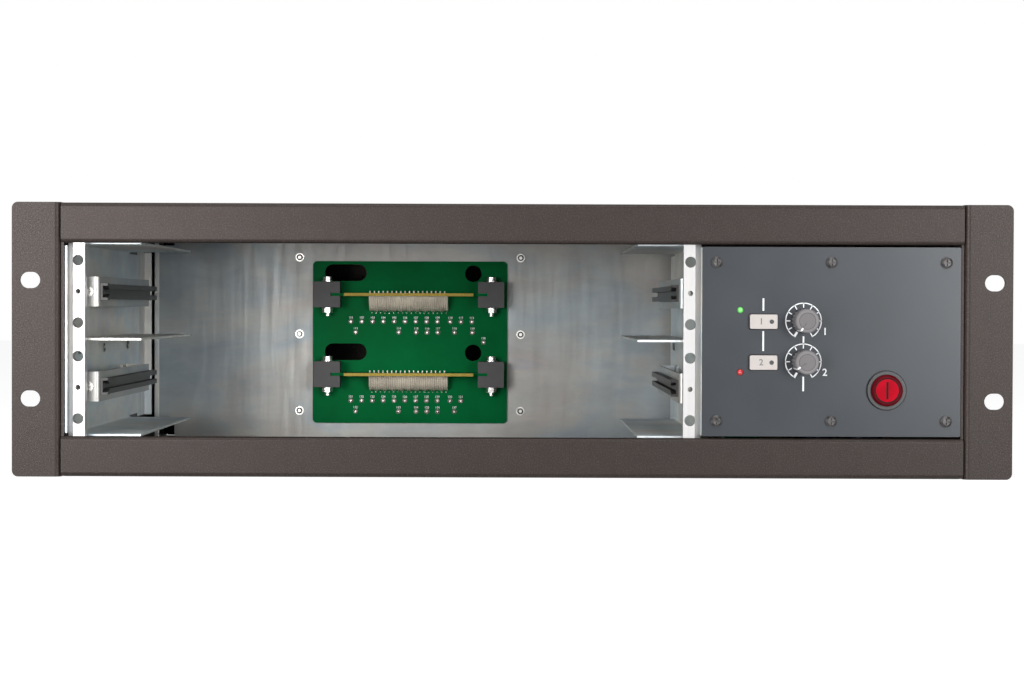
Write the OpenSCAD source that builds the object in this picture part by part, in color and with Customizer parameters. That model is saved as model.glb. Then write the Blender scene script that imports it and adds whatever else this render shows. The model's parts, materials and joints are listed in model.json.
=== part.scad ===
// Rack-mounting card cage: two module bays with a backplane, and a power supply with its own front panel.
// Millimetres. X runs to the right, Y from the front to the back, Z up.
// The origin is the centre of the four rack slots, on the rear faces of the ears.

/* [Rack ears] */
// Width over both ears
rack_w = 482.6; // [478:0.2:486]
// Height of the ears
ear_h = 132.5; // [126:0.5:138]
// Thickness of the ear steel
ear_t = 2; // [1.5:0.1:3]
// How far the leg of an ear runs back along the case
ear_leg = 46; // [30:1:80]
// Radius of the outer corners of an ear
ear_corner = 3; // [1:0.5:6]
// Distance between the left and the right rack slots
slot_pitch_x = 465.1; // [460:0.1:468]
// Distance between the upper and the lower rack slots
slot_pitch_z = 57.15; // [50:0.05:70]
// Length of a rack slot
slot_l = 9.8; // [9:0.1:11]
// Width of a rack slot
slot_w = 7.8; // [6:0.1:8.4]

/* [Case] */
// Width of the case between the ears
case_w = 435.4; // [430:0.2:440]
// Height of the case
case_h = 132.1; // [126:0.5:132.5]
// Depth of the case behind its front plane
case_d = 320; // [300:5:400]
// Thickness of the case sheet
sheet = 1.2; // [1:0.1:1.5]
// Inner radius of the folds in the case sheet
fold_r = 0.8; // [0.5:0.1:1]
// Height of the front opening
opening_h = 93.4; // [90:0.2:96]
// How far the lip of a front rail reaches back
lip_d = 2.8; // [2.6:0.1:2.9]

/* [Module bays] */
// Distance between the left and the right module fixing holes
fixing_pitch_x = 296; // [290:0.5:300]
// Distance between the two large fixing holes of one module
fixing_pitch_z = 30.2; // [26:0.2:34]
// Distance between the centres of the two module bays
bay_pitch = 46.4; // [44:0.2:46.4]
// Large module fixing hole
fixing_d = 5.3; // [4:0.1:6]
// Small threaded module hole
thread_d = 2.5; // [2:0.1:3]
// Height between the inner faces of the upper and the lower shelf
cage_h = 92.6; // [92:0.1:93]
// Thickness of the plated cage sheet
cage_t = 1; // [0.8:0.1:1.2]
// Depth at which the plated side walls end
cage_wall_d = 209; // [190:1:212]
// Depth at which the shelves end
shelf_end_d = 178; // [120:1:185]
// Reach of the left shelves from their wall
left_shelf_w = 34.3; // [20:0.1:60]
// Reach of the right shelves from their wall
right_shelf_w = 30.3; // [20:0.1:60]
// Offset of the card centre line from the centre of the module fixings
card_offset = 1.9; // [0:0.1:3]

/* [Mounting bars] */
// Width of a mounting bar
bar_w = 8.6; // [8:0.1:11]
// Depth of a mounting bar
bar_d = 6; // [5.5:0.1:8]
// Distance of the holes from the wall side of the bar
bar_hole_inset = 5.3; // [5:0.1:5.6]
// Size of the bevel on the wall side of the bar
bar_bevel = 3; // [1:0.1:3.4]

/* [Card guides] */
// Distance between the bracket faces that carry the left and the right guides
guide_pitch = 282.9; // [278:0.1:284]
// Height of a guide bracket
bracket_h = 14.6; // [12:0.1:18]
// Depth at which the guide brackets start
bracket_start_d = 14; // [13:0.5:18]
// Depth at which the guide brackets end
bracket_end_d = 162; // [120:1:172]
// Height of a card guide
guide_h = 7.5; // [6:0.1:9]
// Thickness of a card guide
guide_t = 3.5; // [3:0.1:4]
// Width of the groove in a card guide
groove_w = 2.4; // [1.6:0.1:3]
// Depth of the groove in a card guide
groove_d = 2.4; // [1.5:0.1:2.6]
// Height of the flared entry of a card guide
entry_h = 8.2; // [7.6:0.1:10]
// Length of the flared entry of a card guide
entry_l = 6; // [4:0.5:10]

/* [Backplane] */
// Depth of the front face of the plated back panel
back_d = 234; // [230:1:250]
// Thickness of the back panel
back_t = 1.2; // [1:0.1:2]
// Left edge of the back panel, measured from the inner face of the case wall
back_gap = 5.9; // [3:0.1:10]
// Right edge of the back panel, measured from the right cage wall
back_over = 4.7; // [2:0.1:8]
// Width of the backplane board
board_w = 114; // [110:0.5:120]
// Height of the backplane board
board_h = 95; // [94:0.5:97]
// Thickness of the backplane board
board_t = 1.6; // [1:0.1:2.4]
// Height of the centre of the board below the axis of the case
board_drop = 4.7; // [4:0.1:5]
// Width of the board margin that rests on the back panel
board_margin = 1.6; // [1.2:0.1:2]
// Length of a cable slot in the board
cable_slot_l = 24.6; // [20:0.2:26]
// Height of a cable slot in the board
cable_slot_h = 9.8; // [8:0.2:10]
// Diameter of a round hole in the board
board_hole_d = 9.7; // [8:0.1:10]

/* [Edge connectors] */
// Width of a connector end block
block_w = 15.2; // [14:0.1:16]
// Height of a connector end block
block_h = 15; // [12:0.2:16]
// How far an end block stands out from the board
block_d = 14; // [12:0.5:16]
// Distance between the centres of a left and a right end block
block_pitch = 95.4; // [94:0.1:96]
// Width of the bare front edge of a connector strip
strip_w = 75.6; // [74:0.2:77]
// Thickness of a connector strip
strip_t = 1.7; // [1:0.1:2]
// How far a connector strip stands out from the board
strip_d = 18; // [17:0.5:20]
// Number of contacts along one side of a connector strip
contacts = 18; // [10:1:20]
// Distance between two contacts
contact_pitch = 2.56; // [2:0.01:2.6]
// Diameter of a link wire
wire_d = 0.8; // [0.5:0.05:0.9]
// Radius of the bend in a link wire
wire_bend = 8.3; // [6:0.1:9]

/* [Supply panel] */
// Height of the supply panel
panel_h = 91.4; // [91:0.1:92]
// Thickness of the supply panel
panel_t = 2; // [1.5:0.1:2.2]
// Clearance between the supply panel and the parts beside it
panel_gap = 0.2; // [0.1:0.05:0.4]
// How far the front of the panel lies behind the front plane
panel_recess = 1; // [0.8:0.1:1.3]
// Distance from one panel screw to the next along a row
panel_screw_pitch = 55.4; // [50:0.1:56]
// Distance between the two rows of panel screws
panel_screw_rows = 76.6; // [74:0.1:80]
// Width and height of a supply panel rail
rail_w = 8; // [7:0.1:10]

/* [Controls] */
// Width of a push button
button_w = 13.2; // [12:0.1:14]
// Height of a push button
button_h = 6.9; // [6:0.1:8]
// Gap round a push button
button_gap = 0.35; // [0.2:0.05:0.5]
// How far a push button stands out of the panel
button_out = 2.4; // [2.2:0.1:4]
// Travel of a push button
button_travel = 2; // [1:0.1:2]
// Diameter of a level knob
knob_d = 11.4; // [10.6:0.1:13]
// Length of a level knob
knob_l = 14.6; // [12:0.1:18]
// Number of flutes round a knob
flutes = 20; // [12:1:24]
// Diameter of the cap in the front of a knob
knob_cap_d = 7.7; // [6.5:0.1:8]
// Diameter of a shaft
shaft_d = 4; // [3:0.1:4.4]
// Diameter of an indicator lamp
led_d = 3; // [2.6:0.1:4]
// Outer diameter of the mains switch bezel
bezel_d = 19.3; // [18.6:0.1:21]
// Diameter of the mains button
mains_d = 15.2; // [12:0.1:15.4]
// Travel of the mains button
mains_travel = 2.5; // [1:0.1:2.8]

/* [Power supply] */
// Outer diameter of the ring transformer
toroid_d = 88; // [70:1:90]
// Height of the ring transformer
toroid_h = 38; // [30:1:45]
// Diameter of a smoothing capacitor
capacitor_d = 22; // [16:0.5:25]
// Height of a smoothing capacitor
capacitor_h = 35; // [20:1:45]

/* [Hidden] */
$fn = 48;
// A cut runs past the face that it opens by this much
over = 1;
// Gap between sheet parts that lie beside each other
fit = 0.2;
// Radial gap round a screw, a shaft or a lamp
clear = 0.1;

// Depth behind the front plane, as a Y value
function at(d) = d - ear_t;

wall_x = case_w / 2 - sheet;
floor_z = -case_h / 2 + sheet;
roof_z = case_h / 2 - sheet;
bar_front_d = 3;
bar_back_d = bar_front_d + bar_d;
bay_left = -wall_x + fit + cage_t;
bay_x = bay_left + bar_hole_inset + fixing_pitch_x / 2;
bay_right = bay_x + fixing_pitch_x / 2 + bar_hole_inset;
card_x = bay_x + card_offset;
bays = [1, -1];
shelf_start_d = bar_back_d + 3;

// Ear screws: a front pair into the bars and rails, a rear pair into the case
ear_screw_z = panel_screw_rows / 2;
ear_screw_front_d = bar_back_d + 2;
ear_screw_rear_d = ear_leg - 8;
ear_screw_shank_d = 3;
ear_screw_head_d = 6;
ear_screw_head_h = 1.8;
ear_screw_tip = 2;

// Cover and rear panel screws
case_screw_d = 3;
case_head_d = 5.6;
case_head_h = 1.6;
cover_flange_h = 12;
cover_screw_z = roof_z - cover_flange_h / 2;
cover_screw_d = [ear_leg + 24, case_d / 2 + 20, case_d - 40];
rear_flange = 12;
rear_screw_z = 40;

// Guide bracket
bracket_tab = 12;
bracket_fold = 0.8;
bracket_screw_inset = 5.4;
peg_d = 3;
peg_places = [30, 110];
guide_start_d = bracket_start_d + 2;
guide_end_d = bracket_end_d + 4;
guide_tail = 8;

// Back panel and board
back_left = -wall_x + back_gap;
back_right = bay_right + cage_t + back_over;
board_front_d = back_d - board_t;
board_z = -board_drop;
cable_slot_x = card_x - 37.7;
board_hole_x = card_x + 37.1;
cable_slot_rise = 12.8;
rivet_offset = 64.9;
rivet_rows = [45, 0, -45];
rivet_d = 4;

// Pads of one channel, measured from the card centre line
pad_pitch = 6.35;
pad_d = 2.5;
pad_row = 12;
pad_first = -34.7;
pad_gap = 1.1;
pad_gap_after = 8;
pad_second_row = [-31.9, -6.6, 3.6, 10, 16.3, 26.1, 36.6];
pad_drop = 15.8;
pad_row_step = 6.3;

// Connector blocks
block_bolt_d = 3;
block_bolt_head_d = 5.6;
block_bolt_head_h = 2.2;
block_nut_d = 6.2;
block_nut_h = 2.4;
block_washer_d = 7;
block_washer_h = 0.6;
block_slot = 5.5;

// Supply panel
panel_left = bay_right + panel_gap;
panel_right = wall_x - panel_gap;
panel_x = (panel_left + panel_right) / 2;
panel_screw_d = 3;
panel_head_d = 5.5;
panel_head_h = 1.9;
rail_front_d = panel_recess + panel_t;
rail_back_d = bar_back_d + 6;

// Places of the controls, measured from the middle of the supply panel
led_x = -44;
green_z = 15.2;
red_z = -14.8;
button_x = -32.9;
button_z = [9.7, -10];
knob_x = -13.5;
knob_z = [10.1, -9.6];
mains_x = 26.6;
mains_z = -23.3;
knob_turn = [-147, -125];

// Control parts behind the panel
board_face_d = 20;
control_board_t = 1.6;
switch_w = 9;
switch_front_d = 9;
stem_w = 3;
stem_fit = 0.1;
pot_w = 12;
pot_front_d = 12;
bush_d = 6.6;
pot_nut_d = 8.8;
pot_nut_h = 1.6;
knob_back = 0.5;
cap_depth = 1.2;
cap_wall = 0.1;
flute_d = 1.1;
shaft_in_knob = 9;
knob_bore = shaft_d;
bezel_h = 1.6;
switch_body_d = 17.6;
switch_body_l = 24;
mains_bore = mains_d + 0.3;
mains_out = 3.4;

// Supply parts on the floor
toroid_x = panel_x + 2;
toroid_y_d = case_d - toroid_d / 2 - 14;
toroid_bore = 30;
toroid_round = 8;
toroid_pad = 2;
power_board_x = panel_x;
power_board_w = 100;
power_board_start_d = 60;
power_board_l = 150;
power_board_z = floor_z + 10;
standoff_d = 6;
sink_w = 80;
sink_h = 45;
fins = 9;

// Rear connectors
socket_w = 26;
socket_h = 31;
socket_r = 12;
socket_x = [-180, -140, -100, -60];
socket_z = 10;
inlet_w = 28;
inlet_h = 20.6;
inlet_x = 160;
inlet_z = 20;
inlet_hole_pitch = 40;

/* ---- helpers ---- */

// A box between two corners
module span(low, high) {
    translate(low)
        cube(high - low);
}

// A round bar along Y from y0 to y1
module rod_y(x, z, y0, y1, d) {
    translate([x, y0, z])
        rotate([-90, 0, 0])
            cylinder(d = d, h = y1 - y0);
}

// A round bar along X from x0 to x1
module rod_x(y, z, x0, x1, d) {
    translate([x0, y, z])
        rotate([0, 90, 0])
            cylinder(d = d, h = x1 - x0);
}

// A round bar along Z from z0 to z1
module rod_z(x, y, z0, z1, d) {
    translate([x, y, z0])
        cylinder(d = d, h = z1 - z0);
}

// Gives a flat outline in X and Z a thickness along Y, from y0 to y1
module plate_y(y0, y1) {
    translate([0, y1, 0])
        rotate([90, 0, 0])
            linear_extrude(y1 - y0)
                children();
}

// Gives a flat outline in Y and Z a thickness along X, from x0 to x1
module plate_x(x0, x1) {
    translate([x0, 0, 0])
        rotate([90, 0, 90])
            linear_extrude(x1 - x0)
                children();
}

// Gives a flat outline in X and Y a thickness along Z, from z0 to z1
module plate_z(z0, z1) {
    translate([0, 0, z0])
        linear_extrude(z1 - z0)
            children();
}

// A rectangle with round corners, about its centre
module round_rect(w, h, r) {
    square([w - 2 * r, h], center = true);
    square([w, h - 2 * r], center = true);
    for (sx = [-1, 1], sy = [-1, 1])
        translate([sx * (w / 2 - r), sy * (h / 2 - r)])
            circle(r);
}

// A slot with full round ends, about its centre
module obround(l, w) {
    square([l - w, w], center = true);
    for (s = [-1, 1])
        translate([s * (l - w) / 2, 0])
            circle(d = w);
}

// The section of a fold: a quarter ring in the quadrant that sx and sy point to
module fold(r, t, sx, sy) {
    intersection() {
        difference() {
            circle(r + t);
            circle(r);
        }
        quadrant(sx, sy, r + t);
    }
}

// The square of one quadrant
module quadrant(sx, sy, size) {
    translate([sx < 0 ? -size : 0, sy < 0 ? -size : 0])
        square(size);
}

// A cross recess for a screw head, cut down from the origin along +Y
module cross_recess_y(x, z, y, size, depth) {
    for (turn = [0, 90])
        translate([x, y, z])
            rotate([0, turn, 0])
                translate([-size / 2, -over, -size / 10])
                    cube([size, depth + over, size / 5]);
}

/* ---- case ---- */

// Section of a front rail: the sheet comes forward under the roof, folds down and ends in a lip
module rail_section(top_z, low_z, back_y) {
    corner_y = at(sheet + fold_r);
    translate([corner_y, top_z - sheet])
        square([back_y - corner_y, sheet]);
    translate([corner_y, top_z - sheet - fold_r])
        fold(fold_r, sheet, -1, 1);
    translate([at(0), low_z + sheet + fold_r])
        square([sheet, top_z - low_z - 2 * (sheet + fold_r)]);
    translate([corner_y, low_z + sheet + fold_r])
        fold(fold_r, sheet, -1, -1);
    translate([corner_y, low_z])
        square([at(lip_d) - corner_y, sheet]);
}

// Section of the folded body: the floor and both side walls
module body_section() {
    floor_w = case_w - 2 * (sheet + fold_r);
    translate([-floor_w / 2, -case_h / 2])
        square([floor_w, sheet]);
    for (s = [-1, 1])
        translate([s * floor_w / 2, -case_h / 2 + sheet + fold_r])
            fold(fold_r, sheet, s, -1);
    for (s = [-1, 1])
        translate([s > 0 ? wall_x : -case_w / 2, -case_h / 2 + sheet + fold_r])
            square([sheet, case_h - 2 * sheet - fold_r]);
}

// Places of the screws on one side of the case, as [depth, height]
cover_places = [for (d = cover_screw_d) [d, cover_screw_z]];
rear_places = [for (z = [-rear_screw_z, rear_screw_z]) [case_d - rear_flange / 2 - sheet, z]];
ear_places = [for (d = [ear_screw_front_d, ear_screw_rear_d], z = [-ear_screw_z, ear_screw_z]) [d, z]];
bar_xs = [bay_left + bar_hole_inset, bay_right - bar_hole_inset];

module side_holes(places, d) {
    for (p = places)
        rod_x(at(p[0]), p[1], -case_w / 2 - over - ear_t, case_w / 2 + over + ear_t, d);
}

module chassis() {
    color([0.32, 0.30, 0.29])
        difference() {
            union() {
                plate_y(at(sheet), at(case_d))
                    body_section();
                mirror([0, 0, 1])
                    plate_x(-case_w / 2, case_w / 2)
                        rail_section(case_h / 2, opening_h / 2, at(sheet + fold_r + over));
            }
            side_holes(cover_places, case_screw_d + 2 * clear);
            side_holes(rear_places, case_screw_d + 2 * clear);
            side_holes(ear_places, ear_screw_shank_d + 2 * clear);
            bar_end_holes(-1);
            rod_z(toroid_x, at(toroid_y_d), -case_h / 2 - over, floor_z + over, clamp_d + 2 * clear);
        }
}

// Countersunk holes over or under the ends of the mounting bars
module bar_end_holes(s) {
    for (x = bar_xs)
        translate([x, at(bar_front_d + bar_d / 2), s * case_h / 2])
            mirror([0, 0, s > 0 ? 1 : 0])
                translate([0, 0, -over / 100])
                    cylinder(d1 = bar_head_d + 2 * clear, d2 = bar_screw_d + 2 * clear, h = sheet + over / 50);
}

bar_screw_d = 3;
bar_head_d = 5.4;
bar_screw_l = 10;
clamp_d = 6;

vent_l = 46;
vent_w = 3.2;
vent_pitch = 8;
vent_rows = [0, 1];
vents = 9;

module top_cover() {
    color([0.36, 0.33, 0.32])
        difference() {
            union() {
                plate_x(-case_w / 2, case_w / 2)
                    rail_section(case_h / 2, opening_h / 2, at(case_d));
                for (s = [-1, 1])
                    cover_flange(s);
            }
            // Room for the side walls, whose upper and front edges the cover meets
            for (s = [-1, 1])
                span([s > 0 ? wall_x - fit : -case_w, at(sheet), opening_h / 2 - over],
                    [s > 0 ? case_w : -wall_x + fit, at(case_d) + over, roof_z]);
            side_holes(cover_places, case_screw_d);
            bar_end_holes(1);
            for (row = vent_rows, i = [0:vents - 1])
                translate([toroid_x + (i - (vents - 1) / 2) * vent_pitch, at(case_d - 70 - row * (vent_l + 12)), 0])
                    plate_z(roof_z - over, case_h / 2 + over)
                        rotate(90)
                            obround(vent_l, vent_w);
        }
}

// The cover's side flange, which lies inside the side wall
module cover_flange(s) {
    outer = wall_x - fit;
    x0 = s > 0 ? outer - sheet : -outer;
    span([x0, at(shelf_start_d), roof_z - cover_flange_h], [x0 + sheet, at(case_d - 2 * rear_flange), roof_z]);
}

module rear_panel() {
    inner_w = 2 * (wall_x - fit);
    inner_h = case_h - 2 * sheet - 2 * fit;
    color([0.30, 0.28, 0.27])
        difference() {
            union() {
                plate_y(at(case_d - sheet), at(case_d))
                    round_rect(inner_w, inner_h, fold_r + fit);
                for (s = [-1, 1])
                    rear_flange_side(s, inner_w, inner_h - 2 * (fold_r + fit));
            }
            side_holes(rear_places, case_screw_d);
            for (x = socket_x)
                rod_y(x, socket_z, at(case_d - sheet) - over, at(case_d) + over, 2 * socket_r);
            translate([inlet_x, 0, inlet_z])
                plate_y(at(case_d - sheet) - over, at(case_d) + over)
                    square([inlet_w, inlet_h], center = true);
        }
}

module rear_flange_side(s, inner_w, inner_h) {
    x0 = s > 0 ? inner_w / 2 - sheet : -inner_w / 2;
    span([x0, at(case_d - rear_flange - sheet), -inner_h / 2], [x0 + sheet, at(case_d), inner_h / 2]);
}

// Plan of the right ear: the flange, its fold and the leg along the case
module ear_section() {
    leg_x = case_w / 2;
    bend = 1;
    translate([leg_x + ear_t + bend, -ear_t])
        square([rack_w / 2 - leg_x - ear_t - bend, ear_t]);
    translate([leg_x + ear_t + bend, bend])
        fold(bend, ear_t, -1, -1);
    translate([leg_x, bend])
        square([ear_t, at(ear_leg) - bend]);
}

module rack_ear() {
    difference() {
        intersection() {
            plate_z(-ear_h / 2, ear_h / 2)
                ear_section();
            plate_y(at(0) - over, at(ear_leg) + over)
                translate([rack_w / 2 - rack_w / 4, 0])
                    round_rect(rack_w / 2, ear_h, ear_corner);
        }
        for (s = [-1, 1])
            translate([slot_pitch_x / 2, 0, s * slot_pitch_z / 2])
                plate_y(at(0) - over, over)
                    obround(slot_l, slot_w);
        side_holes(ear_places, ear_screw_shank_d + 2 * clear);
    }
}

module right_rack_ear() {
    color([0.35, 0.33, 0.32])
        rack_ear();
}

module left_rack_ear() {
    color([0.40, 0.37, 0.36])
        mirror([1, 0, 0])
            rack_ear();
}

// A pan-head screw along X: its head stands outside, s says on which side of the case
module side_screw(s, d, z, seat, tip, shank_d, head_d, head_h) {
    mirror([s < 0 ? 1 : 0, 0, 0]) {
        rod_x(at(d), z, tip, seat + over / 10, shank_d);
        difference() {
            rod_x(at(d), z, seat, seat + head_h, head_d);
            for (turn = [0, 90])
                translate([seat + head_h, at(d), z])
                    rotate([turn, 0, 0])
                        cube([head_h, head_d / 8, head_d * 0.55], center = true);
        }
    }
}

module ear_screws() {
    seat = case_w / 2 + ear_t;
    color([0.18, 0.18, 0.19])
        for (s = [-1, 1], p = ear_places) {
            deep = p[0] == ear_screw_front_d ? ear_screw_tip : 0;
            side_screw(s, p[0], p[1], seat, wall_x - deep, ear_screw_shank_d, ear_screw_head_d, ear_screw_head_h);
        }
}

module case_screws() {
    color([0.18, 0.18, 0.19])
        for (s = [-1, 1], p = concat(cover_places, rear_places))
            side_screw(s, p[0], p[1], case_w / 2, wall_x - fit - sheet, case_screw_d, case_head_d, case_head_h);
}

/* ---- module cage ---- */

// Puts a part on one cage wall: X then runs from the wall into the bay, s = 1 is the left wall
module on_wall(s) {
    translate([s > 0 ? bay_left : bay_right, 0, 0])
        mirror([s > 0 ? 0 : 1, 0, 0])
            children();
}

// Distance from a cage wall to the bracket face that carries the guide
function reach(s) = s > 0 ? card_x - guide_pitch / 2 - bay_left : bay_right - card_x - guide_pitch / 2;

cage_fold = 1;
shelf_lip = 9;
shelf_rivet_d = [shelf_start_d + 16, (shelf_start_d + shelf_end_d) / 2, shelf_end_d - 12];
shelf_rivet_z = -5.5;
tab_rivet_d = [bracket_start_d + bracket_tab * 0.6, bracket_end_d - bracket_tab * 0.6];
rivet_shank = 3;
rivet_head = 5;
rivet_rise = 0.9;
foot_l = 24;
foot_w = 12;

module bar_profile() {
    polygon([[0, at(bar_back_d)], [bar_w, at(bar_back_d)], [bar_w, at(bar_front_d)],
        [bar_bevel, at(bar_front_d)], [0, at(bar_front_d) + bar_bevel]]);
}

module mounting_bar(s) {
    color([0.93, 0.93, 0.92])
        on_wall(s)
            difference() {
                plate_z(floor_z, roof_z)
                    bar_profile();
                for (b = bays) {
                    for (k = [-1, 1])
                        rod_y(bar_hole_inset, b * bay_pitch / 2 + k * fixing_pitch_z / 2,
                            at(bar_front_d) - over, at(bar_back_d) + over, fixing_d);
                    rod_y(bar_hole_inset, b * bay_pitch / 2, at(bar_front_d) - over, at(bar_back_d) + over, thread_d);
                }
                for (k = [-1, 1])
                    rod_z(bar_hole_inset, at(bar_front_d + bar_d / 2),
                        k > 0 ? roof_z - bar_screw_l : floor_z - over,
                        k > 0 ? roof_z + over : floor_z + bar_screw_l, bar_screw_d);
            }
}

module left_mounting_bar() {
    mounting_bar(1);
}

module right_mounting_bar() {
    mounting_bar(-1);
}

// Rivet holes and screw holes of one cage wall
module wall_holes() {
    for (d = shelf_rivet_d)
        rod_x(at(d), shelf_rivet_z, -over - cage_t, over + cage_t, rivet_shank);
    for (b = bays, d = tab_rivet_d)
        rod_x(at(d), b * bay_pitch / 2, -over - cage_t, over + cage_t, rivet_shank);
    for (p = ear_places)
        rod_x(at(p[0]), p[1], -over - cage_t, over + cage_t, ear_screw_shank_d + 2 * clear);
}

// A plated side: the wall with an upper and a lower shelf folded out of it
module cage_side(s, shelf_w) {
    wall_h = cage_h - 2 * cage_fold;
    difference() {
        union() {
            span([-cage_t, at(bar_front_d + clear), -wall_h / 2], [0, at(cage_wall_d), wall_h / 2]);
            plate_y(at(shelf_start_d), at(shelf_end_d))
                for (k = [-1, 1]) {
                    translate([cage_fold, k * wall_h / 2])
                        fold(cage_fold, cage_t, -1, k);
                    translate([cage_fold, k > 0 ? cage_h / 2 : -cage_h / 2 - cage_t])
                        square([shelf_w - cage_fold, cage_t]);
                }
        }
        wall_holes();
    }
}

module left_cage_side() {
    color([0.62, 0.63, 0.60])
        on_wall(1)
            cage_side(1, left_shelf_w);
}

// The right side also has a foot at the back that stands on the floor
module right_cage_side() {
    color([0.62, 0.63, 0.60])
        on_wall(-1) {
            cage_side(-1, right_shelf_w);
            span([-cage_t, at(cage_wall_d - foot_l), floor_z + cage_t + cage_fold],
                [0, at(cage_wall_d), -cage_h / 2 + 2 * cage_fold]);
            plate_y(at(cage_wall_d - foot_l), at(cage_wall_d)) {
                translate([-cage_t - cage_fold, floor_z + cage_t + cage_fold])
                    fold(cage_fold, cage_t, 1, -1);
                translate([-cage_t - foot_w, floor_z])
                    square([foot_w - cage_fold, cage_t]);
            }
        }
}

// The middle shelf is an angle, riveted to the wall
module middle_shelf(s, shelf_w) {
    color([0.64, 0.65, 0.62])
        on_wall(s)
            difference() {
                plate_y(at(shelf_start_d), at(shelf_end_d)) {
                    translate([cage_t + cage_fold, -cage_t / 2])
                        square([shelf_w - cage_t - cage_fold, cage_t]);
                    translate([cage_t + cage_fold, -cage_t / 2 - cage_fold])
                        fold(cage_fold, cage_t, -1, 1);
                    translate([0, -shelf_lip])
                        square([cage_t, shelf_lip - cage_t / 2 - cage_fold]);
                }
                for (d = shelf_rivet_d)
                    rod_x(at(d), shelf_rivet_z, -over, cage_t + over, rivet_shank);
            }
}

module left_middle_shelf() {
    middle_shelf(1, left_shelf_w);
}

module right_middle_shelf() {
    middle_shelf(-1, right_shelf_w);
}

// One rivet through a wall and the sheet on its inner face, with its head inside
module wall_rivet(d, z) {
    rod_x(at(d), z, -cage_t, cage_t, rivet_shank);
    translate([cage_t, at(d), z])
        rotate([0, 90, 0])
            cylinder(d1 = rivet_head, d2 = rivet_head - 2 * rivet_rise, h = rivet_rise);
}

// A stud through the back panel: a collar with a raised middle
module panel_stud(x, z) {
    rod_y(x, z, at(back_d) - rivet_rise / 2, at(back_d + back_t), rivet_shank);
    rod_y(x, z, at(back_d) - rivet_rise / 2, at(back_d), rivet_d + 1);
    rod_y(x, z, at(back_d) - 1.5 * rivet_rise, at(back_d), rivet_d - 1.5);
}

module cage_rivets() {
    color([0.75, 0.74, 0.70]) {
        for (s = [1, -1])
            on_wall(s) {
                for (d = shelf_rivet_d)
                    wall_rivet(d, shelf_rivet_z);
                for (b = bays, d = tab_rivet_d)
                    wall_rivet(d, b * bay_pitch / 2);
            }
        for (s = [-1, 1], z = rivet_rows)
            panel_stud(card_x + s * rivet_offset, z);
    }
}

// Plan of a guide bracket: two tabs on the wall, two short flanges and the long strip between them
module bracket_plan(r) {
    t = cage_t;
    c = t + bracket_fold;
    y0 = at(bracket_start_d);
    y1 = at(bracket_end_d);
    translate([0, y0 + c])
        square([t, bracket_tab - c]);
    translate([c, y0 + c])
        fold(bracket_fold, t, -1, -1);
    translate([c, y0])
        square([r - 2 * c, t]);
    translate([r - c, y0 + c])
        fold(bracket_fold, t, 1, -1);
    translate([r - t, y0 + c])
        square([t, y1 - y0 - 2 * c]);
    translate([r - c, y1 - c])
        fold(bracket_fold, t, 1, 1);
    translate([c, y1 - t])
        square([r - 2 * c, t]);
    translate([c, y1 - c])
        fold(bracket_fold, t, -1, 1);
    translate([0, y1 - bracket_tab])
        square([t, bracket_tab - c]);
}

module guide_bracket(s, b) {
    z = b * bay_pitch / 2;
    r = reach(s);
    color([0.72, 0.74, 0.74])
        on_wall(s)
            difference() {
                plate_z(z - bracket_h / 2, z + bracket_h / 2)
                    bracket_plan(r);
                for (d = tab_rivet_d)
                    rod_x(at(d), z, -over, cage_t + over, rivet_shank);
                for (d = peg_places)
                    rod_x(at(bracket_start_d + d), z, r - cage_t - over / 2, r + over, peg_d + 2 * clear);
                rod_y(r - bracket_screw_inset, z, at(bracket_start_d) - over,
                    at(bracket_start_d + cage_t) + over / 2, bracket_screw_d);
            }
}

module upper_left_guide_bracket() {
    guide_bracket(1, 1);
}

module lower_left_guide_bracket() {
    guide_bracket(1, -1);
}

module upper_right_guide_bracket() {
    guide_bracket(-1, 1);
}

module lower_right_guide_bracket() {
    guide_bracket(-1, -1);
}

// Side view of a card guide: a flared entry, then two parallel edges
module guide_outline(entry, plain, y1) {
    y0 = at(guide_start_d);
    polygon([[y0, -entry / 2], [y0 + entry_l, -entry / 2], [y0 + entry_l + 1, -plain / 2], [y1, -plain / 2],
        [y1, plain / 2], [y0 + entry_l + 1, plain / 2], [y0 + entry_l, entry / 2], [y0, entry / 2]]);
}

// Side view of the groove: it opens like a funnel at the entry
module groove_outline(y1) {
    y0 = at(guide_start_d);
    mouth = entry_h - 2.4;
    polygon([[y0 - over, -mouth / 2], [y0 + 1, -mouth / 2], [y0 + entry_l, -groove_w / 2], [y1, -groove_w / 2],
        [y1, groove_w / 2], [y0 + entry_l, groove_w / 2], [y0 + 1, mouth / 2], [y0 - over, mouth / 2]]);
}

module card_guide(s, b) {
    r = reach(s);
    y1 = at(guide_end_d);
    color([0.13, 0.13, 0.13])
        on_wall(s)
            translate([0, 0, b * bay_pitch / 2])
                difference() {
                    union() {
                        plate_x(r, r + guide_t)
                            guide_outline(entry_h, guide_h, y1);
                        for (d = peg_places)
                            rod_x(at(bracket_start_d + d), 0, r - cage_t, r + over / 2, peg_d);
                    }
                    plate_x(r + guide_t - groove_d, r + guide_t + over)
                        groove_outline(y1 + over);
                    // The two prongs at the back
                    span([r - over, y1 - guide_tail, -groove_w / 2], [r + guide_t + over, y1 + over, groove_w / 2]);
                }
}

module upper_left_card_guide() {
    card_guide(1, 1);
}

module lower_left_card_guide() {
    card_guide(1, -1);
}

module upper_right_card_guide() {
    card_guide(-1, 1);
}

module lower_right_card_guide() {
    card_guide(-1, -1);
}

bracket_screw_d = 3;
bracket_head_d = 5;
bracket_head_h = 1.6;
bracket_nut_h = 2.2;

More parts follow.
